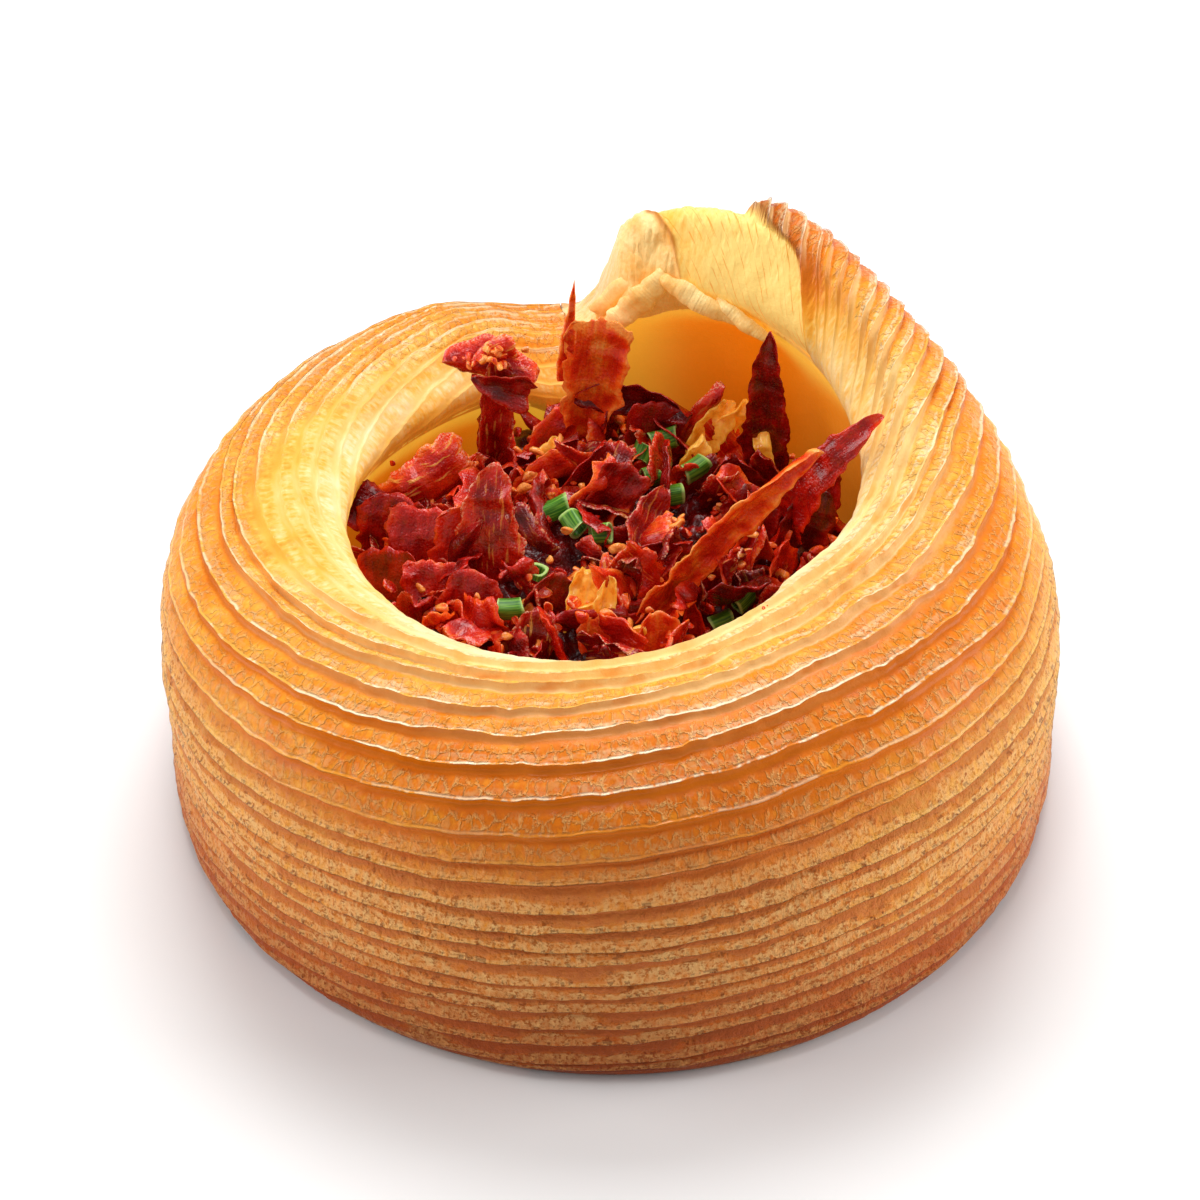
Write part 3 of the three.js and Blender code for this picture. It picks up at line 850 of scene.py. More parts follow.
    def blisters(self, share: np.ndarray, layer: np.ndarray, flat: np.ndarray) -> np.ndarray:
        """How far the skin stands out on the walls between blisters and dips within them.

        Args:
            share: the places on the cross section.
            layer: their layer numbers.
            flat: the places on the skin laid out flat, in millimetres.

        Returns:
            Millimetres for each place.
        """
        warp = np.column_stack([flat, np.zeros(len(flat))])
        bent = flat + 0.8 * np.stack([wander(warp, 1.6, 51), wander(warp, 1.6, 52)], 1)
        cell = cells(bent, self.cell_size, 3)
        phase = layer - np.floor(layer)
        band = smooth(0.0, 0.12, phase) * (1.0 - smooth(0.5, 0.66, phase))
        deep = 0.16 * (0.35 - smooth(0.02, 0.4, cell)) * band * (1.0 - smooth(0.8, 0.95, share))
        return deep * smooth(0, 0.03, share)

    def strip(self, turn: float) -> Strip:
        """Makes one upright line of points, from the foot to the lip of the hollow."""
        spline = Spline(self.shape.rows(turn), self.shape.lip_row)
        arc = math.radians(turn) * self.shape.wall_radius
        share, layer, lift = self.ridges(turn, arc)
        spots, directions = spline.at(spline.parameter(share))
        flat = np.stack([np.full(len(share), arc), share * spline.ridged], 1)
        lift = lift + self.relief(share, turn, spots) + self.blisters(share, layer, flat)
        radius = spots[:, 0] + directions[:, 1] * lift
        height = np.maximum(spots[:, 1] - directions[:, 0] * lift, 0.0)
        angle = np.radians(turn + self.seam(share, turn))
        points = np.stack([radius * np.cos(angle), radius * np.sin(angle), height], 1)
        # The foot and the lip come before and after all ridges, whatever their layers are.
        key = layer.copy()
        key[0], key[-1] = -200.0, 1000.0
        return Strip(key, share, layer, turn, points)

    def seam(self, share: np.ndarray, turn: float) -> np.ndarray:
        """How many degrees round the skin is drawn by the slanting seam where the coil's end lies."""
        near = smooth(-18, 0, turn - self.shape.tail_end) + 1.0 - smooth(0, 18, turn - self.shape.joint)
        slant = 9.0 * (0.34 - share) + 1.6 * np.sin(13.0 * share + 0.6) + 0.7 * np.sin(31.0 * share)
        return near * slant * (1.0 - smooth(0.46, 0.62, share))

    def relief(self, share: np.ndarray, turn: float, spots: np.ndarray) -> np.ndarray:
        """How far the skin stands out beyond its ridges.

        Args:
            share: the places on the cross section.
            turn: the turn angle.
            spots: radius and height of the places.

        Returns:
            Millimetres for each place.
        """
        arc = np.full(len(share), math.radians(turn) * self.shape.wall_radius)
        place = np.stack([arc, spots[:, 0], spots[:, 1]], 1)
        open_skin = smooth(0, 0.03, share) * (1.0 - smooth(0.97, 1.0, share))
        lumps = 0.16 * wander(place, 8.0, 5) + 0.09 * wander(place, 2.6, 6)
        lumps += 0.05 * wander(place, 1.1, 7)
        mm_per_degree = math.radians(1.0) * self.face_radius
        past = (turn - self.lobe_edge(share)) * mm_per_degree
        on_tail = smooth(20, 40, turn) * smooth(0.35, 0.6, share)
        face = smooth(-0.25, 0.35, past) * np.exp(-np.maximum(past, 0.0) / 7.0)
        rounded = smooth(-2.5, -0.3, past) * (1.0 - smooth(-0.25, 0.3, past))
        step = on_tail * (0.4 * rounded - 0.5 * face)
        cut = np.abs(turn - self.cut_edge(share)) * mm_per_degree
        edge = 0.3 * np.exp(-((cut / 0.5) ** 2)) * smooth(0.5, 0.62, share)
        torn = smooth(0.0, 2.0, turn - self.cut_edge(share)) * smooth(0.5, 0.62, share)
        rough = torn * (0.5 * wander(place, 3.4, 61) + 0.34 * np.abs(wander(place, 1.3, 62)))
        rolled_keys = [(28, 0), (42, 0.6), (52, 1.3), (58, 1.8), (61, 1.6), (63, 0.7), (64.4, 0)]
        lobe = keyed(rolled_keys, turn) * smooth(0.58, 0.75, share) * (1.0 - smooth(0.797, 0.825, share))
        end = 0.55 * smooth(92, 97.4, turn) - 0.35 * (1.0 - smooth(0, 4, turn - self.shape.joint))
        overlap = end * (1.0 - smooth(0.5, 0.64, share))
        return open_skin * (lumps + step + edge + rough + lobe + overlap)

    def turns(self) -> list[float]:
        """The turn angles of the strips: wider apart round the ring, closer along the tail."""
        found: list[float] = []
        for start, end, count in self.stretches:
            found.extend(mix(start, end, i / count) for i in range(count))
        return found

    @staticmethod
    def join(left: Strip, right: Strip, by_share: bool) -> list[tuple[int, int, int]]:
        """The triangles between two strips, ordered by their keys, or by share at the coil's joint."""
        a, b = (left.share, right.share) if by_share else (left.key, right.key)
        faces: list[tuple[int, int, int]] = []
        i = j = 0
        last_i, last_j = len(a) - 1, len(b) - 1
        while i < last_i or j < last_j:
            if j == last_j or (i < last_i and a[i + 1] <= b[j + 1]):
                faces.append((left.first + i, right.first + j, left.first + i + 1))
                i += 1
            else:
                faces.append((left.first + i, right.first + j, right.first + j + 1))
                j += 1
        return faces

    def baking(self, share: np.ndarray, turn: np.ndarray) -> np.ndarray:
        """How far the skin is baked, from 0, pale, to 1, dark brown."""
        up = [(0.0, 1.0), (0.05, 0.88), (0.15, 0.72), (0.3, 0.62), (0.45, 0.58), (0.6, 0.61),
              (0.72, 0.53), (0.8, 0.4), (0.87, 0.22), (0.92, 0.08), (1.0, 0.02)]  # fmt: skip
        round_it = [(-262, -0.06), (-200, -0.15), (-150, -0.15), (-110, -0.02), (-80, 0.03),
                    (-40, 0.0), (0, -0.08), (30, -0.1), (60, 0.02), (98, 0.0)]  # fmt: skip
        lobe = smooth(-14, -1, turn - self.lobe_edge(share)) * smooth(0.74, 0.79, share)
        lobe *= smooth(30, 50, turn)
        left, right = 1.0 - smooth(-160, -115, turn), smooth(-25, 10, turn)
        # Painted light at the inner lip: on the left it is painted darker, as shade against the strong
        # light that falls there; on the right it is painted warmer, for light shining through the thin
        # dough.
        inner = left * (0.12 * smooth(0.78, 0.88, share) + 0.34 * smooth(0.88, 1.0, share))
        inner += right * 0.16 * smooth(0.82, 0.92, share)
        tail = 0.2 * smooth(15, 45, turn) * smooth(0.48, 0.6, share) * (1.0 - smooth(0.84, 0.94, share))
        pale = 0.16 * (1.0 - smooth(0.45, 0.7, share))
        pale *= smooth(-75, -45, turn) * (1.0 - smooth(20, 50, turn))
        return keyed(up, share) + keyed(round_it, turn) + 0.2 * lobe + inner + tail - pale

    def masks(self, share: np.ndarray, turn: np.ndarray) -> dict[str, np.ndarray]:
        """The numbers that say which kind of surface each point of the skin is, and how much painted
        glow it gets.
        """
        past = turn - self.lobe_edge(share)
        beyond = turn - self.cut_edge(share)
        on_tail = smooth(0.5, 0.62, share)
        pale = smooth(-0.2, 0.7, past) * on_tail * (1.0 - smooth(-0.5, 0.4, beyond))
        cream = smooth(-0.4, 0.6, beyond) * on_tail
        line = np.exp(-((beyond / 0.55) ** 2)) * on_tail * (1.0 - smooth(0.86, 0.9, share))
        rim = np.exp(-(((past + 0.4) / 0.8) ** 2)) * smooth(0.7, 0.76, share)
        rim *= 1.0 - smooth(0.82, 0.85, share)
        side = np.maximum(smooth(-15, 45, turn), 1.0 - smooth(-165, -125, turn))
        lip = smooth(0.84, 1.0, share) * side
        # glow is a painted glow: it stands in for light shining through the thin dough of the pale face,
        # the torn crumb and the inner lip, and lightens them where they lie in shade.
        glow = np.maximum((0.32 * pale + 0.28 * cream) * smooth(0.66, 0.8, share), 0.3 * lip)
        edging = np.maximum(line * 0.85, rim * smooth(40, 60, turn) * 0.4)
        plain = self.shape.plain(share, turn)
        return {"pale": pale, "cream": cream, "glow": glow, "line": edging, "plain": plain}

    def crust(self, material: bpy.types.Material) -> list[bpy.types.Object]:
        """The skin from the base, up the wall and over the crest to the lip of the hollow.

        Args:
            material: the crust's material.

        Returns:
            The two halves of the skin, whose shading runs on from one into the other.
        """
        strips = [self.strip(turn) for turn in self.turns()]
        starts = np.concatenate([[0], np.cumsum([len(strip.share) for strip in strips])])
        for strip, start in zip(strips, starts):
            strip.first = int(start)
        count = int(starts[-1])
        faces: list[tuple[int, int, int]] = []
        ends = []
        for i, strip in enumerate(strips):
            following = strips[(i + 1) % len(strips)]
            faces.extend(self.join(strip, following, i + 1 == len(strips)))
            faces.append((count, following.first, strip.first))
            ends.append(len(faces))
        points = np.concatenate([strip.points for strip in strips] + [np.zeros((1, 3))])
        share = np.concatenate([strip.share for strip in strips] + [[0.0]])
        turn = np.concatenate([np.full(len(s.share), s.turn) for s in strips] + [[0.0]])
        values = {
            "layer": np.concatenate([strip.layer for strip in strips] + [[0.0]]), "share": share,
            "deep": np.zeros(len(share)), "arc": np.radians(turn) * self.skin_radius,
            "bake": self.baking(share, turn), **self.masks(share, turn),
        }  # fmt: skip
        net = np.array(faces)
        normals = point_normals(points, net)
        middle = ends[len(strips) // 2]
        made = []
        for name, part in (("roll_crust", net[:middle]), ("roll_tail_crust", net[middle:])):
            used, place = np.unique(part, return_inverse=True)
            pile = Pile()
            kept = {key: value[used] for key, value in values.items()}
            pile.add(points[used], place.reshape(-1, 3), **kept)
            made.append(pile.piece(name, material, normals[used]))
        return made

    def hollow(self, material: bpy.types.Material) -> bpy.types.Object:
        """The smooth wall of the hollow, from just over its lip down to the floor."""
        shape, steps = self.shape, self.hollow_steps
        points, share, deep, glow = [], [], [], []
        turns = self.turns() + [shape.tail_end]
        for turn in turns:
            spline = Spline(shape.rows(turn), shape.lip_row)
            start = float(spline.parameter(np.array([HOLLOW_FROM]))[0])
            places = np.linspace(start, 1.0, steps)
            spots, directions = spline.at(places)
            arc = np.full(steps, math.radians(turn) * self.hollow_arc_radius)
            place = np.stack([arc, spots[:, 0], spots[:, 1]], 1)
            lumps = 0.25 * wander(place, 7.0, 8) + 0.08 * wander(place, 2.0, 9)
            lift = -0.02 + lumps * smooth(0, 5, np.arange(steps))
            radius = spots[:, 0] + directions[:, 1] * lift
            height = spots[:, 1] - directions[:, 0] * lift
            angle = math.radians(turn)
            points.append(np.stack([radius * math.cos(angle), radius * math.sin(angle), height], 1))
            share.append(mix(0.99, 1.6, np.linspace(0, 1, steps)))
            below = spots[0, 1] - spots[:, 1]
            # deep: how far the wall has turned to the deeper orange, partly its own colour, partly
            # painted light through the dough.
            start_deep, end_deep = keyed(self.deepens, turn), keyed(self.deepest, turn)
            deep.append(smooth(start_deep, end_deep, below) * keyed(self.ruddy, turn))
            # A painted glow below the lip, standing in for light shining through the dough and
            # lightening the wall where it lies in shade.
            fades = np.exp(-np.maximum(below - 2.0, 0.0) / 22.0)
            glow.append(smooth(-2.0, 1.5, below) * fades * keyed(self.lit, turn))
        middle = np.array([[0.0, 0.0, shape.floor_height]])
        rows = len(turns)
        faces = grid_faces(rows, steps, 0, True)
        last = np.arange(rows - 1) * steps + steps - 1
        fan = np.stack([last, last + steps, np.full(rows - 1, rows * steps)], 1)
        pile = Pile()
        arc = np.radians(np.repeat(np.array(turns), steps)) * self.hollow_arc_radius
        pile.add(
            np.concatenate(points + [middle]), np.concatenate([faces, fan]),
            layer=0.0, bake=0.1, pale=0.0, cream=0.0, line=0.0, plain=1.0,
            share=np.concatenate(share + [[2.0]]), deep=np.concatenate(deep + [[1.0]]),
            glow=np.concatenate(glow + [[0.0]]), arc=np.append(arc, 0.0),
        )  # fmt: skip
        return pile.piece("roll_hollow", material)

    def build(self) -> None:
        """Makes both skins and settles them on the part."""
        material = self.finish.material()
        for piece in self.crust(material):
            settle(piece, "pastry")
        settle(self.hollow(material), "pastry")
        TornDough().build(material)


# ---- Slivers ---------------------------------------------------------------------------------------


class Outline(Enum):
    """How a sliver's width grows from its base and falls off to its tip."""

    PLATE = (0.25, 0.2)
    SPEAR = (0.2, 0.9)
    LEAF = (0.6, 0.6)
    FAN = (0.7, 0.15)
    BLADE = (0.22, 0.55)


@dataclass(frozen=True)
class Sliver:
    """One flat bit of food: where it runs, how wide it is, where it faces and how it bends.

    Attributes:
        base: the place of its lower end.
        tip: the place of its upper end.
        width: its greatest width.
        facing: the turn angle that its front looks towards.
        bow: how far its middle stands out to the front.
        curl: how far its sides stand out to the front.
        outline: how its width changes from base to tip.
        tone: how dark, 0, or light, 1, it is.
        fat: how much fat it has.
        twist: how many degrees its tip is turned against its base.
    """

    base: Triple
    tip: Triple
    width: float
    facing: float
    bow: float = 0.5
    curl: float = 0.5
    outline: Outline = Outline.PLATE
    tone: float = 0.5
    fat: float = 0.2
    twist: float = 0.0


@dataclass(frozen=True)
class Cut:
    """How the slivers of one food are cut, torn and crumpled.

    Attributes:
        thickness: how thick they are.
        ragged: how uneven their sides are.
        teeth: how far their torn tips jut.
        crumple: how deep their folds are.
        fibre: how deep the fine ribs along them are.
        spacing: the distance between the points of the mesh.
        edge: how thick their edges are, as a share of the thickness.
    """

    thickness: float
    ragged: float
    teeth: float
    crumple: float
    fibre: float
    spacing: float
    edge: float

    def mesh(self, sliver: Sliver, seed: int) -> tuple[np.ndarray, np.ndarray, dict[str, Any]]:
        """The closed mesh of one sliver.

        Args:
            sliver: the sliver.
            seed: a number of its own for its ragged edge and its folds.

        Returns:
            Its points, its triangles, and the numbers kept at its points.
        """
        start, end = np.array(sliver.base, float), np.array(sliver.tip, float)
        length = float(np.linalg.norm(end - start))
        axis = (end - start) / length
        look = math.radians(sliver.facing)
        face = np.array([math.cos(look), math.sin(look), 0.0])
        face -= axis * face.dot(axis)
        face /= max(float(np.linalg.norm(face)), 1e-6)
        side = np.cross(axis, face)
        rows = max(7, round(length / self.spacing)) + 1
        columns = max(5, round(sliver.width / self.spacing)) + 1
        s, v = np.meshgrid(np.linspace(0.0, 1.0, rows), np.linspace(-1.0, 1.0, columns), indexing="ij")
        s, v = s.ravel(), v.ravel()
        grow, fall = sliver.outline.value
        inside = mix(0.012, 0.988, s)
        peak = grow / (grow + fall)
        share = inside**grow * (1.0 - inside) ** fall / (peak**grow * (1.0 - peak) ** fall)
        key = np.stack([s * length, np.where(v > 0, 50.0, -50.0), np.full(len(s), seed * 11.0)], 1)
        edge = 0.3 * wander(key, 2.2, 11) + 0.26 * wander(key, 1.0, 12) + 0.14 * wander(key, 0.5, 10)
        across = 0.5 * sliver.width * share * (1.0 + self.ragged * edge) * v
        flat = np.stack([s * length, across, np.full(len(s), seed * 7.0)], 1)
        folds = 0.35 - np.abs(wander(flat, 3.0, 13))
        crumple = 0.9 * folds + 0.4 * wander(flat, 1.5, 14) + 0.16 * wander(flat, 0.75, 16)
        strands = flat * np.array([0.22, 1.0, 1.0])
        lift = sliver.bow * 4.0 * s * (1.0 - s) + sliver.curl * v * v
        lift += self.crumple * crumple + self.fibre * wander(strands, 0.6, 17)
        spread = np.stack([across, np.zeros(len(s)), flat[:, 2]], 1)
        teeth = self.teeth * (wander(spread, 1.1, 15) + 0.6 * wander(spread, 0.5, 18))
        teeth *= smooth(0.6, 1.0, s)
        turned = math.radians(sliver.twist) * (s - 0.5)
        out = lift * np.cos(turned) + across * np.sin(turned)
        wide = across * np.cos(turned) - lift * np.sin(turned)
        middle = start + np.outer(s * length + teeth, axis) + np.outer(wide, side) + np.outer(out, face)
        border = np.maximum(np.abs(v), np.abs(2 * s - 1) ** 6)
        half = 0.5 * self.thickness * np.maximum(np.sqrt(np.maximum(1.0 - border**2, 0.0)), self.edge)
        points = np.concatenate([middle + np.outer(half, face), middle - np.outer(half, face)])
        faces = self.net(rows, columns)
        rim = np.maximum(np.abs(v) ** 2, s**8)
        values = {
            "tone": sliver.tone, "fat": sliver.fat, "rim": np.tile(rim, 2),
            "along": np.tile(s * length + seed * 3.0, 2), "across": np.tile(across, 2),
        }  # fmt: skip
        return points, faces, values

    @staticmethod
    def net(rows: int, columns: int) -> np.ndarray:
        """The triangles of a flat closed form: a net on each side and a band between them."""
        under = rows * columns
        last = (rows - 1) * columns
        border = np.concatenate([
            np.arange(columns - 1), np.arange(rows - 1) * columns + columns - 1,
            last + np.arange(columns - 1, 0, -1), np.arange(rows - 1, 0, -1) * columns,
        ])  # fmt: skip
        ahead = np.roll(border, -1)
        band = np.concatenate([
            np.stack([border, under + border, ahead], 1),
            np.stack([ahead, under + border, under + ahead], 1),
        ])  # fmt: skip
        return np.concatenate([grid_faces(rows, columns), grid_faces(rows, columns, under, True), band])


# ---- The torn end ----------------------------------------------------------------------------------


@dataclass
class TornDough:
    """Soft tongues of dough that hang from the torn end and the inner lip of the raised tail."""

    cut: Cut = Cut(1.3, 0.5, 0.4, 0.5, 0.1, 0.3, 0.05)
    tongues: tuple[Sliver, ...] = (
        Sliver((6.2, 27.8, 49.0), (-0.2, 25.0, 43.0), 3.4, -80, 0.6, -0.5, Outline.PLATE),
        Sliver((5.2, 27.6, 48.8), (14.6, 23.6, 45.2), 2.8, -85, 0.9, -0.4, Outline.LEAF),
        Sliver((11.6, 25.2, 47.6), (18.0, 21.4, 44.2), 1.9, -95, 0.8, -0.3, Outline.LEAF),
        Sliver((2.4, 28.4, 47.4), (-2.2, 28.0, 42.4), 2.6, -95, 0.4, -0.5, Outline.PLATE),
    )  # fmt: skip

    def build(self, material: bpy.types.Material) -> None:
        """Makes the piece and settles it on the part.

        Args:
            material: the crust's material, read where it is torn.
        """
        pile = Pile()
        for i, tongue in enumerate(self.tongues):
            points, faces, values = self.cut.mesh(tongue, 300 + i)
            # glow=0.3 gives the tongues a painted glow, for light shining through the soft dough.
            pile.add(
                points, faces, layer=0.0, share=0.7, deep=0.0, arc=values["along"], plain=1.0,
                bake=0.1, pale=0.0, cream=1.0, line=0.0, glow=0.3,
            )  # fmt: skip
        settle(pile.piece("torn_dough", material), "pastry")


# ---- The filling -----------------------------------------------------------------------------------


@dataclass(frozen=True)
class HamFinish:
    """Fried cured ham: dark red and glassy, with pale streaks of fat; its thin edges are painted orange
    and glowing, as painted light shining through them.
    """

    tones: tuple[tuple[float, str], ...] = (
        (0.0, "2E0202"), (0.22, "620402"), (0.42, "9C0602"), (0.6, "CA1A04"), (0.76, "E43C0A"),
        (0.9, "F4701A"), (1.0, "F8A446"),
    )  # fmt: skip
    fat: str = "F0B48C"
    amber: str = "F2B04E"
    painted_sheen: str = "8A4450"
    dark_glow: str = "1C0000"
    red_glow: str = "9A1202"

    def material(self) -> bpy.types.Material:
        """Builds the material from the numbers kept at the shards' points."""
        b = Board("crisp_ham")
        tone, rim, fat = b.attribute("tone"), b.attribute("rim"), b.attribute("fat")
        along, across = b.attribute("along"), b.attribute("across")
        place = b.place()
        fibre = b.noise(b.spot(along * 0.14, across, tone * 60.0), 0.45, 2.0, 0.6)
        blotch = b.noise(place, 2.0, 2.0)
        grain = b.noise(place, 0.3, 1.0, 0.6)
        # The thin edges are painted lighter and more orange, as painted light shining through them.
        level = tone + 0.03 + (blotch - 0.5) * 0.75 + (fibre - 0.5) * 0.32 + rim.step(0.3, 1.0) * 0.2
        colour = b.ramp(level, self.tones)
        # Painted sheen: a mauve cast on the darker shards that stands in for the pink-grey sheen off
        # their glassy surface.
        painted_sheen = blotch.step(0.56, 0.7) * (1.0 - tone.step(0.4, 0.7)) * rim.step(0.0, 0.1)
        colour = b.blend(colour, self.painted_sheen, painted_sheen * fibre.step(0.4, 0.7) * 0.3)
        streak = (fibre + fat * 0.03).step(0.6, 0.68) * fat.step(0.3, 0.95)
        colour = b.blend(colour, self.amber, streak * 0.75)
        edge = rim.step(0.7, 1.0) * grain.step(0.48, 0.62)
        colour = b.blend(colour, self.fat, edge * fat.step(0.15, 0.7) * 0.8)
        # Painted glow: emission that stands in for red light shining through the thin edges of the
        # lighter shards.
        thin = b.blend(self.dark_glow, self.red_glow, rim.step(0.1, 1.0) * tone.step(0.3, 0.75))
        return b.surface({
            "Base Color": colour,
            "Roughness": 0.24 + (grain - 0.5) * 0.3,
            "Coat Weight": 0.35,
            "Coat Roughness": 0.06,
            "Specular IOR Level": 0.42,
            "IOR": 1.46,
            "Emission Color": thin,
            "Emission Strength": 0.5,
            "Normal": b.bump(fibre * 0.6 + grain * 0.5 + blotch * 0.6, 0.4, 0.8),
        })  # fmt: skip


@dataclass
class Heap:
    """The dark mass of small ham that the shards stand in.

    Attributes:
        middle: its height in the middle.
        top_radius: how far its top reaches before it turns down the side.
        rim_height: the heights of the rings of points down its side.
        rim_radius: the radii of those rings.
        around: how many points it has round a ring.
        over: how many rings its top has.
    """

    middle: float = 30.6
    top_radius: float = 27.2
    rim_height: tuple[float, ...] = (25.4, 24.0, 22.6, 21.2, 19.6, 16.0, 12.6, 11.6)
    rim_radius: tuple[float, ...] = (27.6, 28.2, 28.8, 29.4, 30.0, 29.4, 28.0, 23.4)
    around: int = 240
    over: int = 60

    def height(self, x: Any, y: Any) -> Any:
        """The height of the heap: a low dome with lumps, sunk at the front right."""
        sunk = 7.0 * np.exp(-((x - 13.0) ** 2 + (y + 12.0) ** 2) / 60.0)
        lumps = 0.9 * np.sin(0.5 * x + 1.0) * np.cos(0.45 * y + 2.0)
        return self.middle - 0.0055 * (x * x + y * y) - sunk + lumps

    def build(self, material: bpy.types.Material) -> None:
        """Makes the piece and settles it on the part.

        Args:
            material: the ham's material.
        """
        around, over = self.around, self.over
        turn = np.radians(np.linspace(0.0, 360.0, around + 1))
        radius = np.concatenate([np.linspace(0.001, self.top_radius, over), self.rim_radius])
        rows = len(radius)
        t, r = np.meshgrid(turn, radius, indexing="ij")
        x, y = (r * np.cos(t)).ravel(), (r * np.sin(t)).ravel()
        place = np.stack([x, y, x * 0.0], 1)
        crags = 1.5 * np.abs(wander(place, 3.0, 21)) + 0.8 * wander(place, 1.4, 22)
        crags += 0.4 * wander(place, 0.7, 23)
        row = np.tile(np.arange(rows), around + 1)
        side = np.concatenate([np.zeros(over), self.rim_height])
        z = np.where(row >= over, side[row] + 0.3 * crags, self.height(x, y) + crags - 0.8)
        points = np.stack([x, y, z], 1)
        points[rows * around :] = points[:rows]
        pile = Pile()
        pile.add(
            points, grid_faces(around + 1, rows, 0, True), tone=0.14 + 0.16 * wander(place, 3.0, 24),
            fat=0.0, rim=0.0, along=x, across=y,
        )  # fmt: skip
        settle(pile.piece("ham_heap", material), "filling")


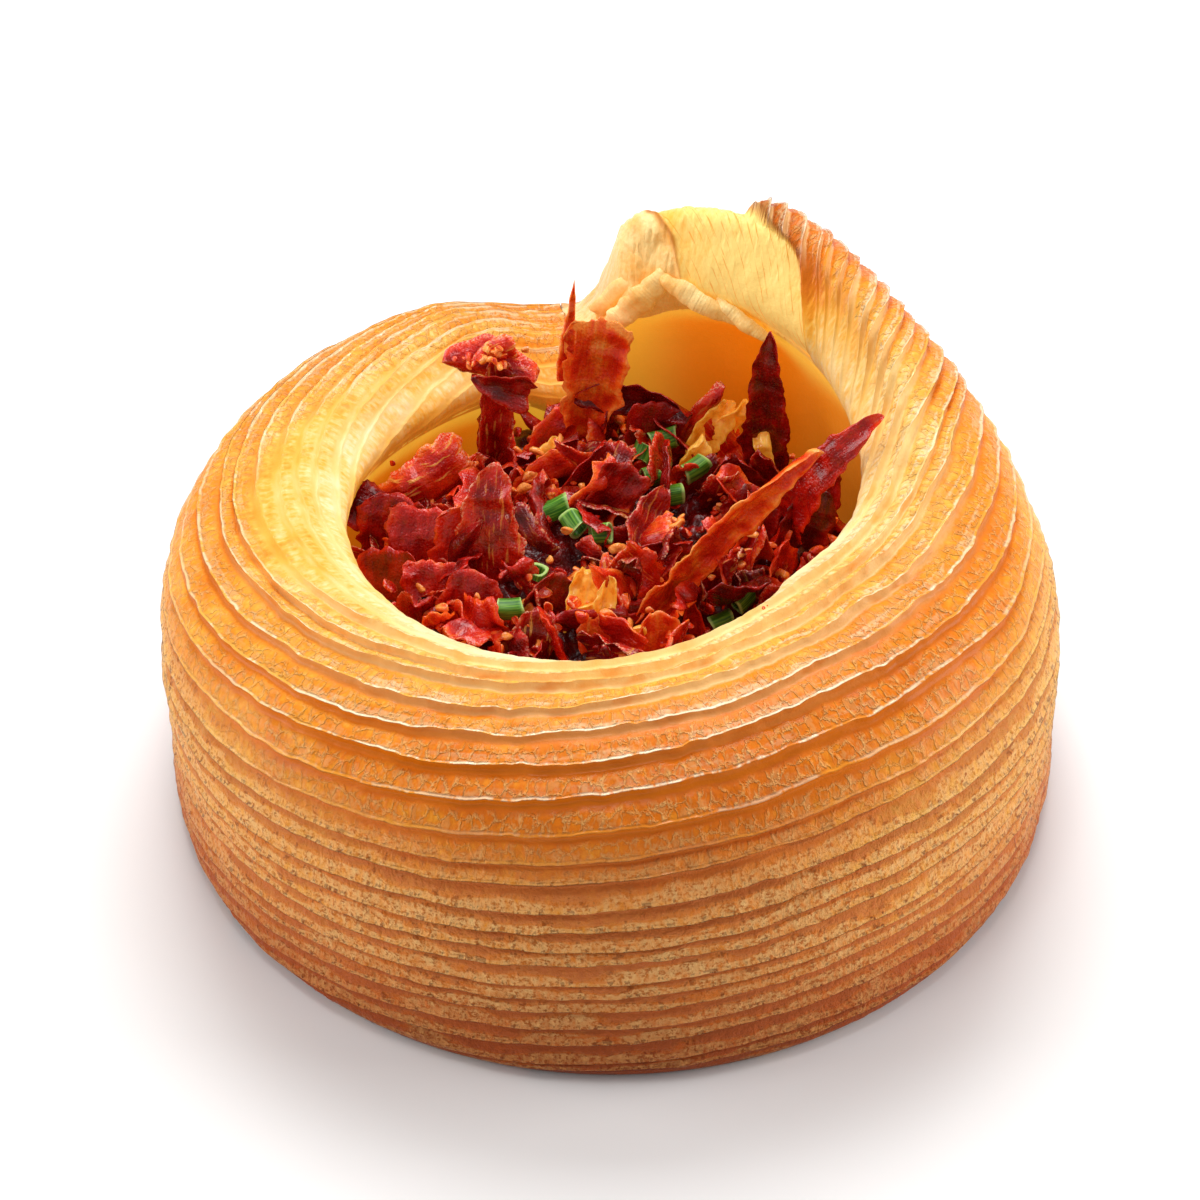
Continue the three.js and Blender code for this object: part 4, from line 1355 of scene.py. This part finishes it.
@dataclass
class Ham:
    """The ham: shards that stand out of the heap, smaller ones between them, and crumbs.

    Attributes:
        roll: the roll's form, which the ham stays inside.
        heap: the heap that it stands in.
        seed: the seed of the random draws.
        fillers: how many small shards there are.
        crumbs: how many crumbs lie on the heap.
        clear: the gap kept between the ham and the dough.
        spread: how far from the middle the small shards and the crumbs reach.
        dip: where the heap is low, and the shards there are painted darker as shade.
        outlines: the outlines that the small shards are drawn from.
        dusted: the middle of the crumbs that lie on the tallest shard at the left.
        dusting: how many those are.
        dust_reach: how far they reach each way.
        strays: the loose crumbs on the roll's rim.
        shard_cut: how the shards are cut.
        filler_cut: how the small shards are cut.
        crumb_cut: how the crumbs are cut.
    """

    roll: RollShape
    heap: Heap
    seed: int = 7
    fillers: int = 180
    crumbs: int = 520
    clear: float = 0.25
    spread: float = 26.0
    dip: tuple[float, float] = (13.0, -12.0)
    outlines: tuple[Outline, ...] = (Outline.PLATE, Outline.SPEAR, Outline.LEAF, Outline.FAN)
    dusted: Triple = (-12.9, 16.6, 46.2)
    dusting: int = 26
    dust_reach: Triple = (1.3, 0.4, 0.7)
    strays: tuple[Triple, ...] = ((15.9, -19.6, 41.3), (16.4, -19.2, 41.3), (-24.6, 13.3, 33.6))
    shard_cut: Cut = Cut(0.5, 0.42, 0.5, 0.58, 0.14, 0.42, 0.3)
    filler_cut: Cut = Cut(0.5, 0.55, 0.5, 1.0, 0.1, 0.5, 0.3)
    crumb_cut: Cut = Cut(0.7, 1.0, 0.4, 0.6, 0.1, 0.42, 0.3)

    def standing(self) -> list[Sliver]:
        """The shards that show one by one."""
        plate, spear, leaf, fan = Outline.PLATE, Outline.SPEAR, Outline.LEAF, Outline.FAN
        blade = Outline.BLADE
        return [
            Sliver((-14.2, 18.6, 27), (-12.6, 17.2, 45.6), 4.0, -80, 0.8, 0.9, plate, 0.45, 0.7),
            Sliver((-18.9, 17.4, 44.6), (-8.7, 15.8, 43), 5.4, -72, -1.0, -1.6, leaf, 0.5, 0.5),
            Sliver((-15.6, 16.6, 43.6), (-9.2, 16.0, 41.4), 4.6, -64, 0.6, 1.0, fan, 0.32, 0.3),
            Sliver((-15.6, 16.6, 44.6), (-10.6, 16.6, 47.2), 3.2, -90, -0.6, -0.8, fan, 0.6, 0.9),
            Sliver((-3.6, 22, 26), (-1.2, 22, 46.8), 8.0, -92, 0.8, 0.9, fan, 0.76, 0.0),
            Sliver((-5.4, 21.6, 38), (-4.2, 21.6, 52.6), 1.9, -90, 0.3, 0, spear, 0.7, 0.6),
            Sliver((-4, 21.2, 36.8), (8.6, 18.6, 35.8), 4.6, -70, -2, 1.2, leaf, 0.2, 0.1),
            Sliver((3, 19.5, 26), (5.5, 20, 36.5), 7, -88, 0.5, 0.8, fan, 0.35, 0.1),
            Sliver((-26.2, 9.4, 30.5), (-16, 12.6, 34.6), 7.5, -98, 1.4, -1.8, fan, 0.62, 1.0),
            Sliver((-24.6, 6, 25), (-23.4, 7.6, 33.4), 8.4, -100, 0.8, 0.9, plate, 0.36, 0.1),
            Sliver((-13.4, -3.4, 26), (-12.8, 3.4, 41.8), 8.0, -105, 0.6, 0.5, blade, 0.44, 0.62),
            Sliver((-16.6, -1.6, 26), (-15.2, 2.2, 37.0), 8.2, -88, 0.8, 1.0, plate, 0.52, 0.1),
            Sliver((-21.4, -0.6, 26), (-20.4, 3.4, 35.4), 8.6, -100, 0.9, 1.0, fan, 0.44, 0.1),
            Sliver((-24.2, -4.4, 25), (-24.4, -0.8, 33), 7.4, -110, 0.6, 0.8, plate, 0.36, 0.1),
            Sliver((-20, -6.5, 25), (-19.4, -2.9, 33.4), 7.6, -80, 0.7, 0.9, fan, 0.46, 0.1),
            Sliver((-15.8, -8.6, 25), (-15.2, -5.6, 34.2), 7.4, -92, 0.7, 0.8, plate, 0.4, 0.1),
            Sliver((-11.4, -10.2, 25), (-11.0, -8.2, 32.2), 5.6, -84, 0.5, 0.7, fan, 0.5, 0.2),
            Sliver((2.6, -8.5, 28.5), (22.0, 1.4, 45.8), 5.2, -62, -1, 0.9, blade, 0.72, 0.3),
            Sliver((17.4, 17, 26), (17.4, 16.4, 50), 5.2, -100, 1, 0.9, blade, 0.26, 0.1),
            Sliver((20.6, 9.6, 25), (29.2, 2.4, 49.6), 5.8, -145, 5.4, 0.4, blade, 0.44, 0.2),
            Sliver((21, 9, 24), (23.2, 10.6, 36.5), 6.5, -100, 0.6, 0.8, plate, 0.22, 0.1),
            Sliver((18.4, 3, 25), (22.4, 5.4, 36.5), 6, -80, 0.9, 0.9, plate, 0.16, 0.1),
            Sliver((12.6, 13, 26), (13.6, 12, 36), 7.4, -80, 0.8, 1.2, leaf, 0.22, 0.2),
            Sliver((14.8, 7, 26), (16.2, 8, 34.5), 7, -95, 0.8, 1.2, fan, 0.26, 0.3),
            Sliver((9, -7.6, 22), (8.7, -6, 31.4), 3.6, -90, 0.4, 0.4, spear, 0.45, 0.1),
            Sliver((-0.4, -13.2, 26), (-1, -11.2, 33.4), 5, -100, 0.7, 1, plate, 0.75, 0.6),
            Sliver((4, -12.6, 25), (4.8, -10.8, 33), 4.6, -75, 0.7, 1, plate, 0.7, 0.4),
            Sliver((-8.8, -13.4, 26.5), (-7.8, -11, 33.6), 5, -95, 0.5, 0.6, plate, 0.4, 1.0),
            Sliver((-6.4, 12, 28), (-0.6, 14, 36), 6, -60, 0.6, 1, leaf, 0.3, 0.2),
            Sliver((-2, -3, 29), (8.6, -1, 34), 5, -80, -1, 1, leaf, 0.3, 0.2),
            Sliver((-4.5, 8, 28), (2, 9.4, 36.4), 6, -85, 0.6, 1.2, fan, 0.38, 0.3),
            Sliver((-9, -7.4, 27), (-5.6, -6.6, 35), 5.4, -80, 0.6, 1.0, plate, 0.32, 0.3),
        ]

    def filler(self, random: np.random.Generator) -> Sliver:
        """One of the smaller shards, at a random place on the heap."""
        turn = random.uniform(0, 2 * math.pi)
        radius = self.spread * math.sqrt(random.uniform(0.0, 1.0))
        x, y = radius * math.cos(turn), radius * math.sin(turn)
        lean = random.uniform(0, 2 * math.pi)
        rise = math.radians(random.uniform(5, 70))
        long = random.uniform(4.5, 11.0)
        flat = long * math.cos(rise)
        z = float(self.heap.height(x, y)) + random.uniform(-1.6, 0.8)
        tip = (x + flat * math.cos(lean), y + flat * math.sin(lean), z + long * math.sin(rise))
        # Painted shade: shards in the low dip of the heap are drawn darker.
        shade = 0.2 * math.exp(-((x - self.dip[0]) ** 2 + (y - self.dip[1]) ** 2) / 60.0)
        return Sliver(
            (x, y, z), tip, random.uniform(3.0, 7.0), random.uniform(-180, 180),
            random.uniform(-1.2, 1.2), random.uniform(-1.4, 1.4), random.choice(self.outlines),
            random.uniform(0.2, 0.66) - shade, random.uniform(0, 0.7), random.uniform(-40, 40),
        )  # fmt: skip

    def crumb(self, random: np.random.Generator) -> Sliver:
        """One crumb, at a random place on the heap."""
        turn = random.uniform(0, 2 * math.pi)
        radius = self.spread * math.sqrt(random.uniform(0.0, 1.0))
        x, y = radius * math.cos(turn), radius * math.sin(turn)
        z = float(self.heap.height(x, y)) + random.uniform(0.6, 3.4)
        return self.bit((x, y, z), random.uniform(1.0, 2.4), random.uniform(0.25, 1.0), random)

    @staticmethod
    def bit(spot: Triple, size: float, tone: float, random: np.random.Generator) -> Sliver:
        """A crumb of that size and tone, turned at random.

        Args:
            spot: its place.
            size: its length.
            tone: its tone.
            random: the draws for its direction.

        Returns:
            The crumb.
        """
        way = random.normal(size=3)
        way *= size / max(float(np.linalg.norm(way)), 1e-6)
        tip = (spot[0] + way[0], spot[1] + way[1], spot[2] + 0.6 * way[2])
        return Sliver(
            spot, tip, size * random.uniform(0.5, 0.9), random.uniform(-180, 180), 0.1,
            random.uniform(-0.3, 0.3), Outline.LEAF, tone, random.uniform(0, 0.9),
        )  # fmt: skip

    def kept_inside(self, points: np.ndarray) -> np.ndarray:
        """Moves points that would pass through the roll in towards its middle."""
        radius = np.hypot(points[:, 0], points[:, 1])
        turn = np.degrees(np.arctan2(points[:, 1], points[:, 0]))
        turn = np.where(turn > self.roll.tail_end, turn - 360.0, turn)
        limit = np.full(len(points), 1e9)
        for whole in np.unique(np.round(turn)):
            here = np.round(turn) == whole
            crest = float(self.roll.rows(float(whole))[6, 1])
            found = self.roll.inner_radius(float(whole), points[here, 2]) - self.clear
            limit[here] = np.where(points[here, 2] < crest + 0.3, found, 1e9)
        moved = points.copy()
        moved[:, :2] *= np.minimum(1.0, limit / np.maximum(radius, 1e-6))[:, None]
        return moved

    def gather(self, cut: Cut, slivers: Sequence[Sliver], seed: int) -> Pile:
        """Gathers slivers into one pile, kept clear of the roll.

        Args:
            cut: how they are cut.
            slivers: the slivers.
            seed: the number of the first one.

        Returns:
            The pile.
        """
        pile = Pile()
        for i, sliver in enumerate(slivers):
            points, faces, values = cut.mesh(sliver, seed + i)
            pile.add(self.kept_inside(points), faces, **values)
        return pile

    def build(self, material: bpy.types.Material) -> None:
        """Makes the pieces and settles them on the part.

        Args:
            material: the ham's material.
        """
        random = np.random.default_rng(self.seed)
        fillers = [self.filler(random) for _ in range(self.fillers)]
        crumbs = [self.crumb(random) for _ in range(self.crumbs)]
        for _ in range(self.dusting):
            spot = np.array(self.dusted) + random.normal(size=3) * np.array(self.dust_reach)
            size, tone = random.uniform(0.7, 1.3), random.uniform(0.6, 1.0)
            crumbs.append(self.bit(tuple(spot), size, tone, random))
        for spot in self.strays:
            crumbs.append(self.bit(spot, 0.8, 0.5, random))
        for name, cut, slivers, seed in (
            ("ham_shards", self.shard_cut, self.standing(), 1),
            ("ham_pieces", self.filler_cut, fillers, 100),
            ("ham_crumbs", self.crumb_cut, crumbs, 1000),
        ):
            settle(self.gather(cut, slivers, seed).piece(name, material), "filling")


@dataclass(frozen=True)
class OnionFinish:
    """Fried onion: amber and glassy, paler on its ridges."""

    dark: str = "D07A12"
    light: str = "FCC862"
    dark_glow: str = "9A4400"
    light_glow: str = "D08414"

    def material(self) -> bpy.types.Material:
        """Builds the material."""
        b = Board("fried_onion")
        place = b.place()
        rim = b.attribute("rim")
        cloud = b.noise(place, 1.3, 4.0, 0.6)
        grain = b.noise(place, 0.3, 2.0)
        colour = b.blend(self.dark, self.light, cloud.step(0.34, 0.6) * 0.8 + rim.step(0.4, 1.0) * 0.2)
        # Painted glow: emission that stands in for light shining through the thin amber onion.
        thin = b.blend(self.dark_glow, self.light_glow, cloud)
        return b.surface({
            "Base Color": colour,
            "Roughness": 0.24 + grain * 0.14,
            "Specular IOR Level": 0.3,
            "Coat Weight": 0.4,
            "Coat Roughness": 0.08,
            "Subsurface Weight": 0.35,
            "Subsurface Radius": (1.0, 0.5, 0.15),
            "Subsurface Scale": 0.0016,
            "Emission Color": thin,
            "Emission Strength": 0.45,
            "Normal": b.bump(cloud * 0.7 + grain * 0.3, 0.3, 0.8),
        })  # fmt: skip


@dataclass
class Onion:
    """Soft strips of fried onion in the heap."""

    cut: Cut = Cut(0.8, 0.6, 0.8, 1.6, 0.5, 0.26, 0.2)
    strips: tuple[Sliver, ...] = (
        Sliver((8.6, 18.6, 29.5), (13.0, 21.0, 36.4), 4.0, -80, 0.6, 0.6, Outline.LEAF),
        Sliver((11.6, 20.6, 31.0), (15.0, 20.6, 36.0), 3.2, -90, 0.4, 0.8, Outline.LEAF),
        Sliver((7.4, 15.6, 29.6), (10.2, 16.8, 34.0), 3.4, -70, 0.4, 0.8, Outline.LEAF),
        Sliver((-4.6, -10.4, 29.8), (-2.6, -5.6, 35.4), 3.2, -90, 0.5, 0.7, Outline.LEAF),
        Sliver((-1.8, -11.4, 29.6), (-0.4, -8.6, 36.0), 2.8, -85, 0.5, 0.6, Outline.LEAF),
        Sliver((-6.4, -10.8, 30.2), (-1.6, -9.2, 33.0), 3.0, -95, 0.5, 0.6, Outline.LEAF),
        Sliver((7.0, -4.6, 28.8), (8.2, -2.4, 32.6), 2.0, -80, 0.3, 0.4, Outline.LEAF),
        Sliver((-8.2, 17.0, 29.6), (-6.0, 18.4, 33.4), 2.6, -90, 0.3, 0.5, Outline.LEAF),
        Sliver((0.4, -12.6, 28.6), (3.4, -11.8, 32.0), 2.4, -90, 0.3, 0.5, Outline.LEAF),
        Sliver((18.0, 13.0, 30.0), (16.4, 17.6, 37.6), 2.2, -95, 0.6, 0.4, Outline.LEAF),
    )  # fmt: skip

    def build(self) -> None:
        """Makes the piece and settles it on the part."""
        pile = Pile()
        for i, strip in enumerate(self.strips):
            points, faces, values = self.cut.mesh(strip, 500 + i)
            pile.add(points, faces, rim=values["rim"])
        settle(pile.piece("onion_strips", OnionFinish().material()), "filling")


@dataclass(frozen=True)
class ChiveFinish:
    """Cut chives: fresh green outside, with paler cut ends."""

    skin: str = "2E6A10"
    light: str = "78AE34"
    cut: str = "C2DE84"

    def material(self) -> bpy.types.Material:
        """Builds the material from the numbers kept at the chives' points."""
        b = Board("cut_chives")
        end, along, around = b.attribute("end"), b.attribute("along"), b.attribute("around")
        fibre = b.noise(b.spot(along * 0.1, around * 2.4, 0.0), 0.4, 2.0)
        # Lighter green streaks along the tube: partly the chive's own ribs, partly painted highlight.
        colour = b.blend(self.skin, self.light, fibre.step(0.35, 0.7))
        colour = b.blend(colour, self.cut, end.step(0.3, 0.9) * 0.8)
        return b.surface({
            "Base Color": colour,
            "Roughness": 0.42,
            "Specular IOR Level": 0.25,
            "Coat Weight": 0.1,
            "Coat Roughness": 0.2,
            "Subsurface Weight": 0.2,
            "Subsurface Radius": (0.4, 1.0, 0.2),
            "Subsurface Scale": 0.0006,
            "Normal": b.bump(fibre, 0.08, 0.7),
        })  # fmt: skip


@dataclass
class Chives:
    """Short hollow tubes of cut chive scattered on the heap.

    Attributes:
        spots: each one's middle, turn angle, tilt in degrees and length.
        radius: how thick they are.
        wall: how thick their wall is.
        steps: how many rings of points each has along it.
        around: how many points a ring has.
    """

    spots: tuple[tuple[Triple, float, float, float], ...] = (
        ((5.9, 18, 32.6), 10, 12, 3.2), ((3.4, 16.6, 31.8), 60, 35, 2.4),
        ((4.4, 12.4, 32.0), 25, 5, 2.2), ((9.3, 13, 32.6), 35, 12, 2.9),
        ((6.7, 9.2, 32.0), 5, 8, 2.4), ((-6.2, 5.6, 33.2), 15, 20, 2.9),
        ((-4.1, 3.1, 33.2), 120, 10, 2.2), ((-1.3, 1.6, 33.0), 0, 6, 2.2),
        ((-8.3, -5.2, 33.4), 40, 70, 1.0), ((-11.1, -9.9, 32.4), 0, 4, 2.9),
        ((14.3, -5, 29.4), 50, 10, 2.6), ((12.1, -7, 27.6), 20, 14, 2.2),
        ((20.4, 5.4, 37.0), 30, 20, 1.6),
    )  # fmt: skip
    radius: float = 1.2
    wall: float = 0.34
    steps: int = 6
    around: int = 20

    def tube(self, length: float, seed: int) -> tuple[np.ndarray, np.ndarray, dict[str, Any]]:
        """The closed mesh of one tube, lying along X.

        Args:
            length: its length.
            seed: a number of its own for its oval and its slanting ends.

        Returns:
            Its points, its triangles, and the numbers kept at its points.
        """
        inner, steps = self.radius - self.wall, self.steps
        rows = [(k / steps - 0.5, float(k in (0, steps))) for k in range(steps + 1)]
        outside = [(self.radius, place, end) for place, end in rows]
        inside = [(inner, -place, end) for place, end in rows]
        profile = np.array(outside + inside + [outside[0]])
        angle = np.arange(self.around + 1) * 2 * math.pi / self.around
        a, k = np.meshgrid(angle, np.arange(len(profile)), indexing="ij")
        a, k = a.ravel(), k.ravel()
        ring, along, end = profile[k, 0], profile[k, 1] * length, profile[k, 2]
        oval = 1.0 + 0.14 * np.cos(2 * a + seed)
        slant = 0.25 * ring * np.cos(a + seed) * np.sign(along) * (np.abs(along) > 0.49 * length)
        points = np.stack([
            along + slant, ring * oval * np.cos(a), ring / oval * np.sin(a) + 0.05 * along**2,
        ], 1)  # fmt: skip
        points[self.around * len(profile) :] = points[: len(profile)]
        values = {"end": end, "along": along + seed * 10.0, "around": a}
        return points, grid_faces(self.around + 1, len(profile)), values

    def build(self) -> None:
        """Makes the piece and settles it on the part."""
        pile = Pile()
        for i, (centre, lie, rise, length) in enumerate(self.spots):
            points, faces, values = self.tube(length, i)
            tilt, turn = math.radians(rise), math.radians(lie)
            flat = points[:, 0] * math.cos(tilt) - points[:, 2] * math.sin(tilt)
            up = points[:, 0] * math.sin(tilt) + points[:, 2] * math.cos(tilt)
            x = flat * math.cos(turn) - points[:, 1] * math.sin(turn)
            y = flat * math.sin(turn) + points[:, 1] * math.cos(turn)
            pile.add(np.stack([x, y, up], 1) + np.array(centre), faces, **values)
        settle(pile.piece("chives", ChiveFinish().material()), "filling")


# ---- The setting -----------------------------------------------------------------------------------


@dataclass
class Studio:
    """A plain pale floor, soft light and the camera.

    Attributes:
        target: the place that the camera looks at.
        distance: how far the camera is from it.
        elevation: the camera's angle above the floor in degrees.
        lens: the camera's focal length.
        sky: the strength of the light from all round.
        floor_reach: half the floor's side in metres.
        floor_tones: the two greys of the floor.
        lamp_aim: the place that the lamps look at, in metres.
        lamps: each lamp's name, place in metres, side in metres and power in watts.
    """

    target: Triple = (-1.34, 0.0, 24.6)
    distance: float = 515.0
    elevation: float = 42.8
    lens: float = 138.8
    sky: float = 0.36
    floor_reach: float = 4.0
    floor_tones: tuple[str, str] = ("F4F3F2", "F7F6F5")
    lamp_aim: Triple = (0.0, 0.0, 0.03)
    lamps: tuple[tuple[str, Triple, float, float], ...] = (
        ("back_softbox", (0.0, 0.4, 0.66), 0.42, 4.4),
        ("top_softbox", (-0.04, -0.12, 0.75), 0.2, 0.9),
        ("left_softbox", (-0.7, 0.02, 0.26), 0.4, 2.5),
        ("right_softbox", (0.7, 0.02, 0.26), 0.4, 2.9),
    )  # fmt: skip

    def floor(self) -> None:
        """Makes the floor, which isn't part of the object."""
        b = Board("floor_paper")
        grain = b.noise(b.place(), 40.0, 0.0)
        shade = b.blend(*self.floor_tones, grain)
        material = b.surface({"Base Color": shade, "Roughness": 0.7})
        mesh = bpy.data.meshes.new("floor")
        size = self.floor_reach
        corners = [(-size, -size, 0.0), (size, -size, 0.0), (size, size, 0.0), (-size, size, 0.0)]
        mesh.from_pydata(corners, [], [(0, 1, 2, 3)])
        mesh.materials.append(material)
        made = bpy.data.objects.new("floor", mesh)
        bpy.context.scene.collection.objects.link(made)

    def lamp(self, name: str, spot: Triple, size: float, power: float) -> None:
        """Adds one white square soft light that looks at the roll.

        Args:
            name: the light's name.
            spot: its place in metres.
            size: the length of its side in metres.
            power: its power in watts.
        """
        light = bpy.data.lights.new(name, "AREA")
        light.shape = "SQUARE"
        light.size = size
        light.energy = power
        made = bpy.data.objects.new(name, light)
        bpy.context.scene.collection.objects.link(made)
        made.location = spot
        aim = Vector(self.lamp_aim) - Vector(spot)
        made.rotation_euler = aim.to_track_quat("-Z", "Y").to_euler()

    def camera(self) -> None:
        """Makes the camera at the angle from which the roll is seen."""
        data = bpy.data.cameras.new("camera")
        data.sensor_width = 36.0
        data.lens = self.lens
        data.clip_start = 0.01
        made = bpy.data.objects.new("camera", data)
        bpy.context.scene.collection.objects.link(made)
        rise = math.radians(self.elevation)
        away = Vector((0.0, -math.cos(rise), math.sin(rise)))
        made.location = (Vector(self.target) + away * self.distance) * MM
        made.rotation_euler = (-away).to_track_quat("-Z", "Y").to_euler()
        bpy.context.scene.camera = made

    def build(self) -> None:
        """Makes the whole setting."""
        scene = bpy.context.scene
        scene.view_settings.view_transform = "Standard"
        world = bpy.data.worlds.new("studio")
        scene.world = world
        world.use_nodes = True
        background = world.node_tree.nodes["Background"]
        background.inputs["Color"].default_value = tint("FFFFFF")
        background.inputs["Strength"].default_value = self.sky
        self.floor()
        for name, spot, size, power in self.lamps:
            self.lamp(name, spot, size, power)
        self.camera()
        LOG.info("floor, lights and camera")


def main() -> None:
    """Builds the roll, its filling and the setting."""
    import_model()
    shape = RollShape()
    Roll(shape).build()
    ham = HamFinish().material()
    heap = Heap()
    heap.build(ham)
    Ham(shape, heap).build(ham)
    Onion().build()
    Chives().build()
    Studio().build()
    LOG.info("sizes written")


if __name__ == "__main__":
    logging.basicConfig(level=logging.INFO, format="%(name)s: %(message)s")
    main()
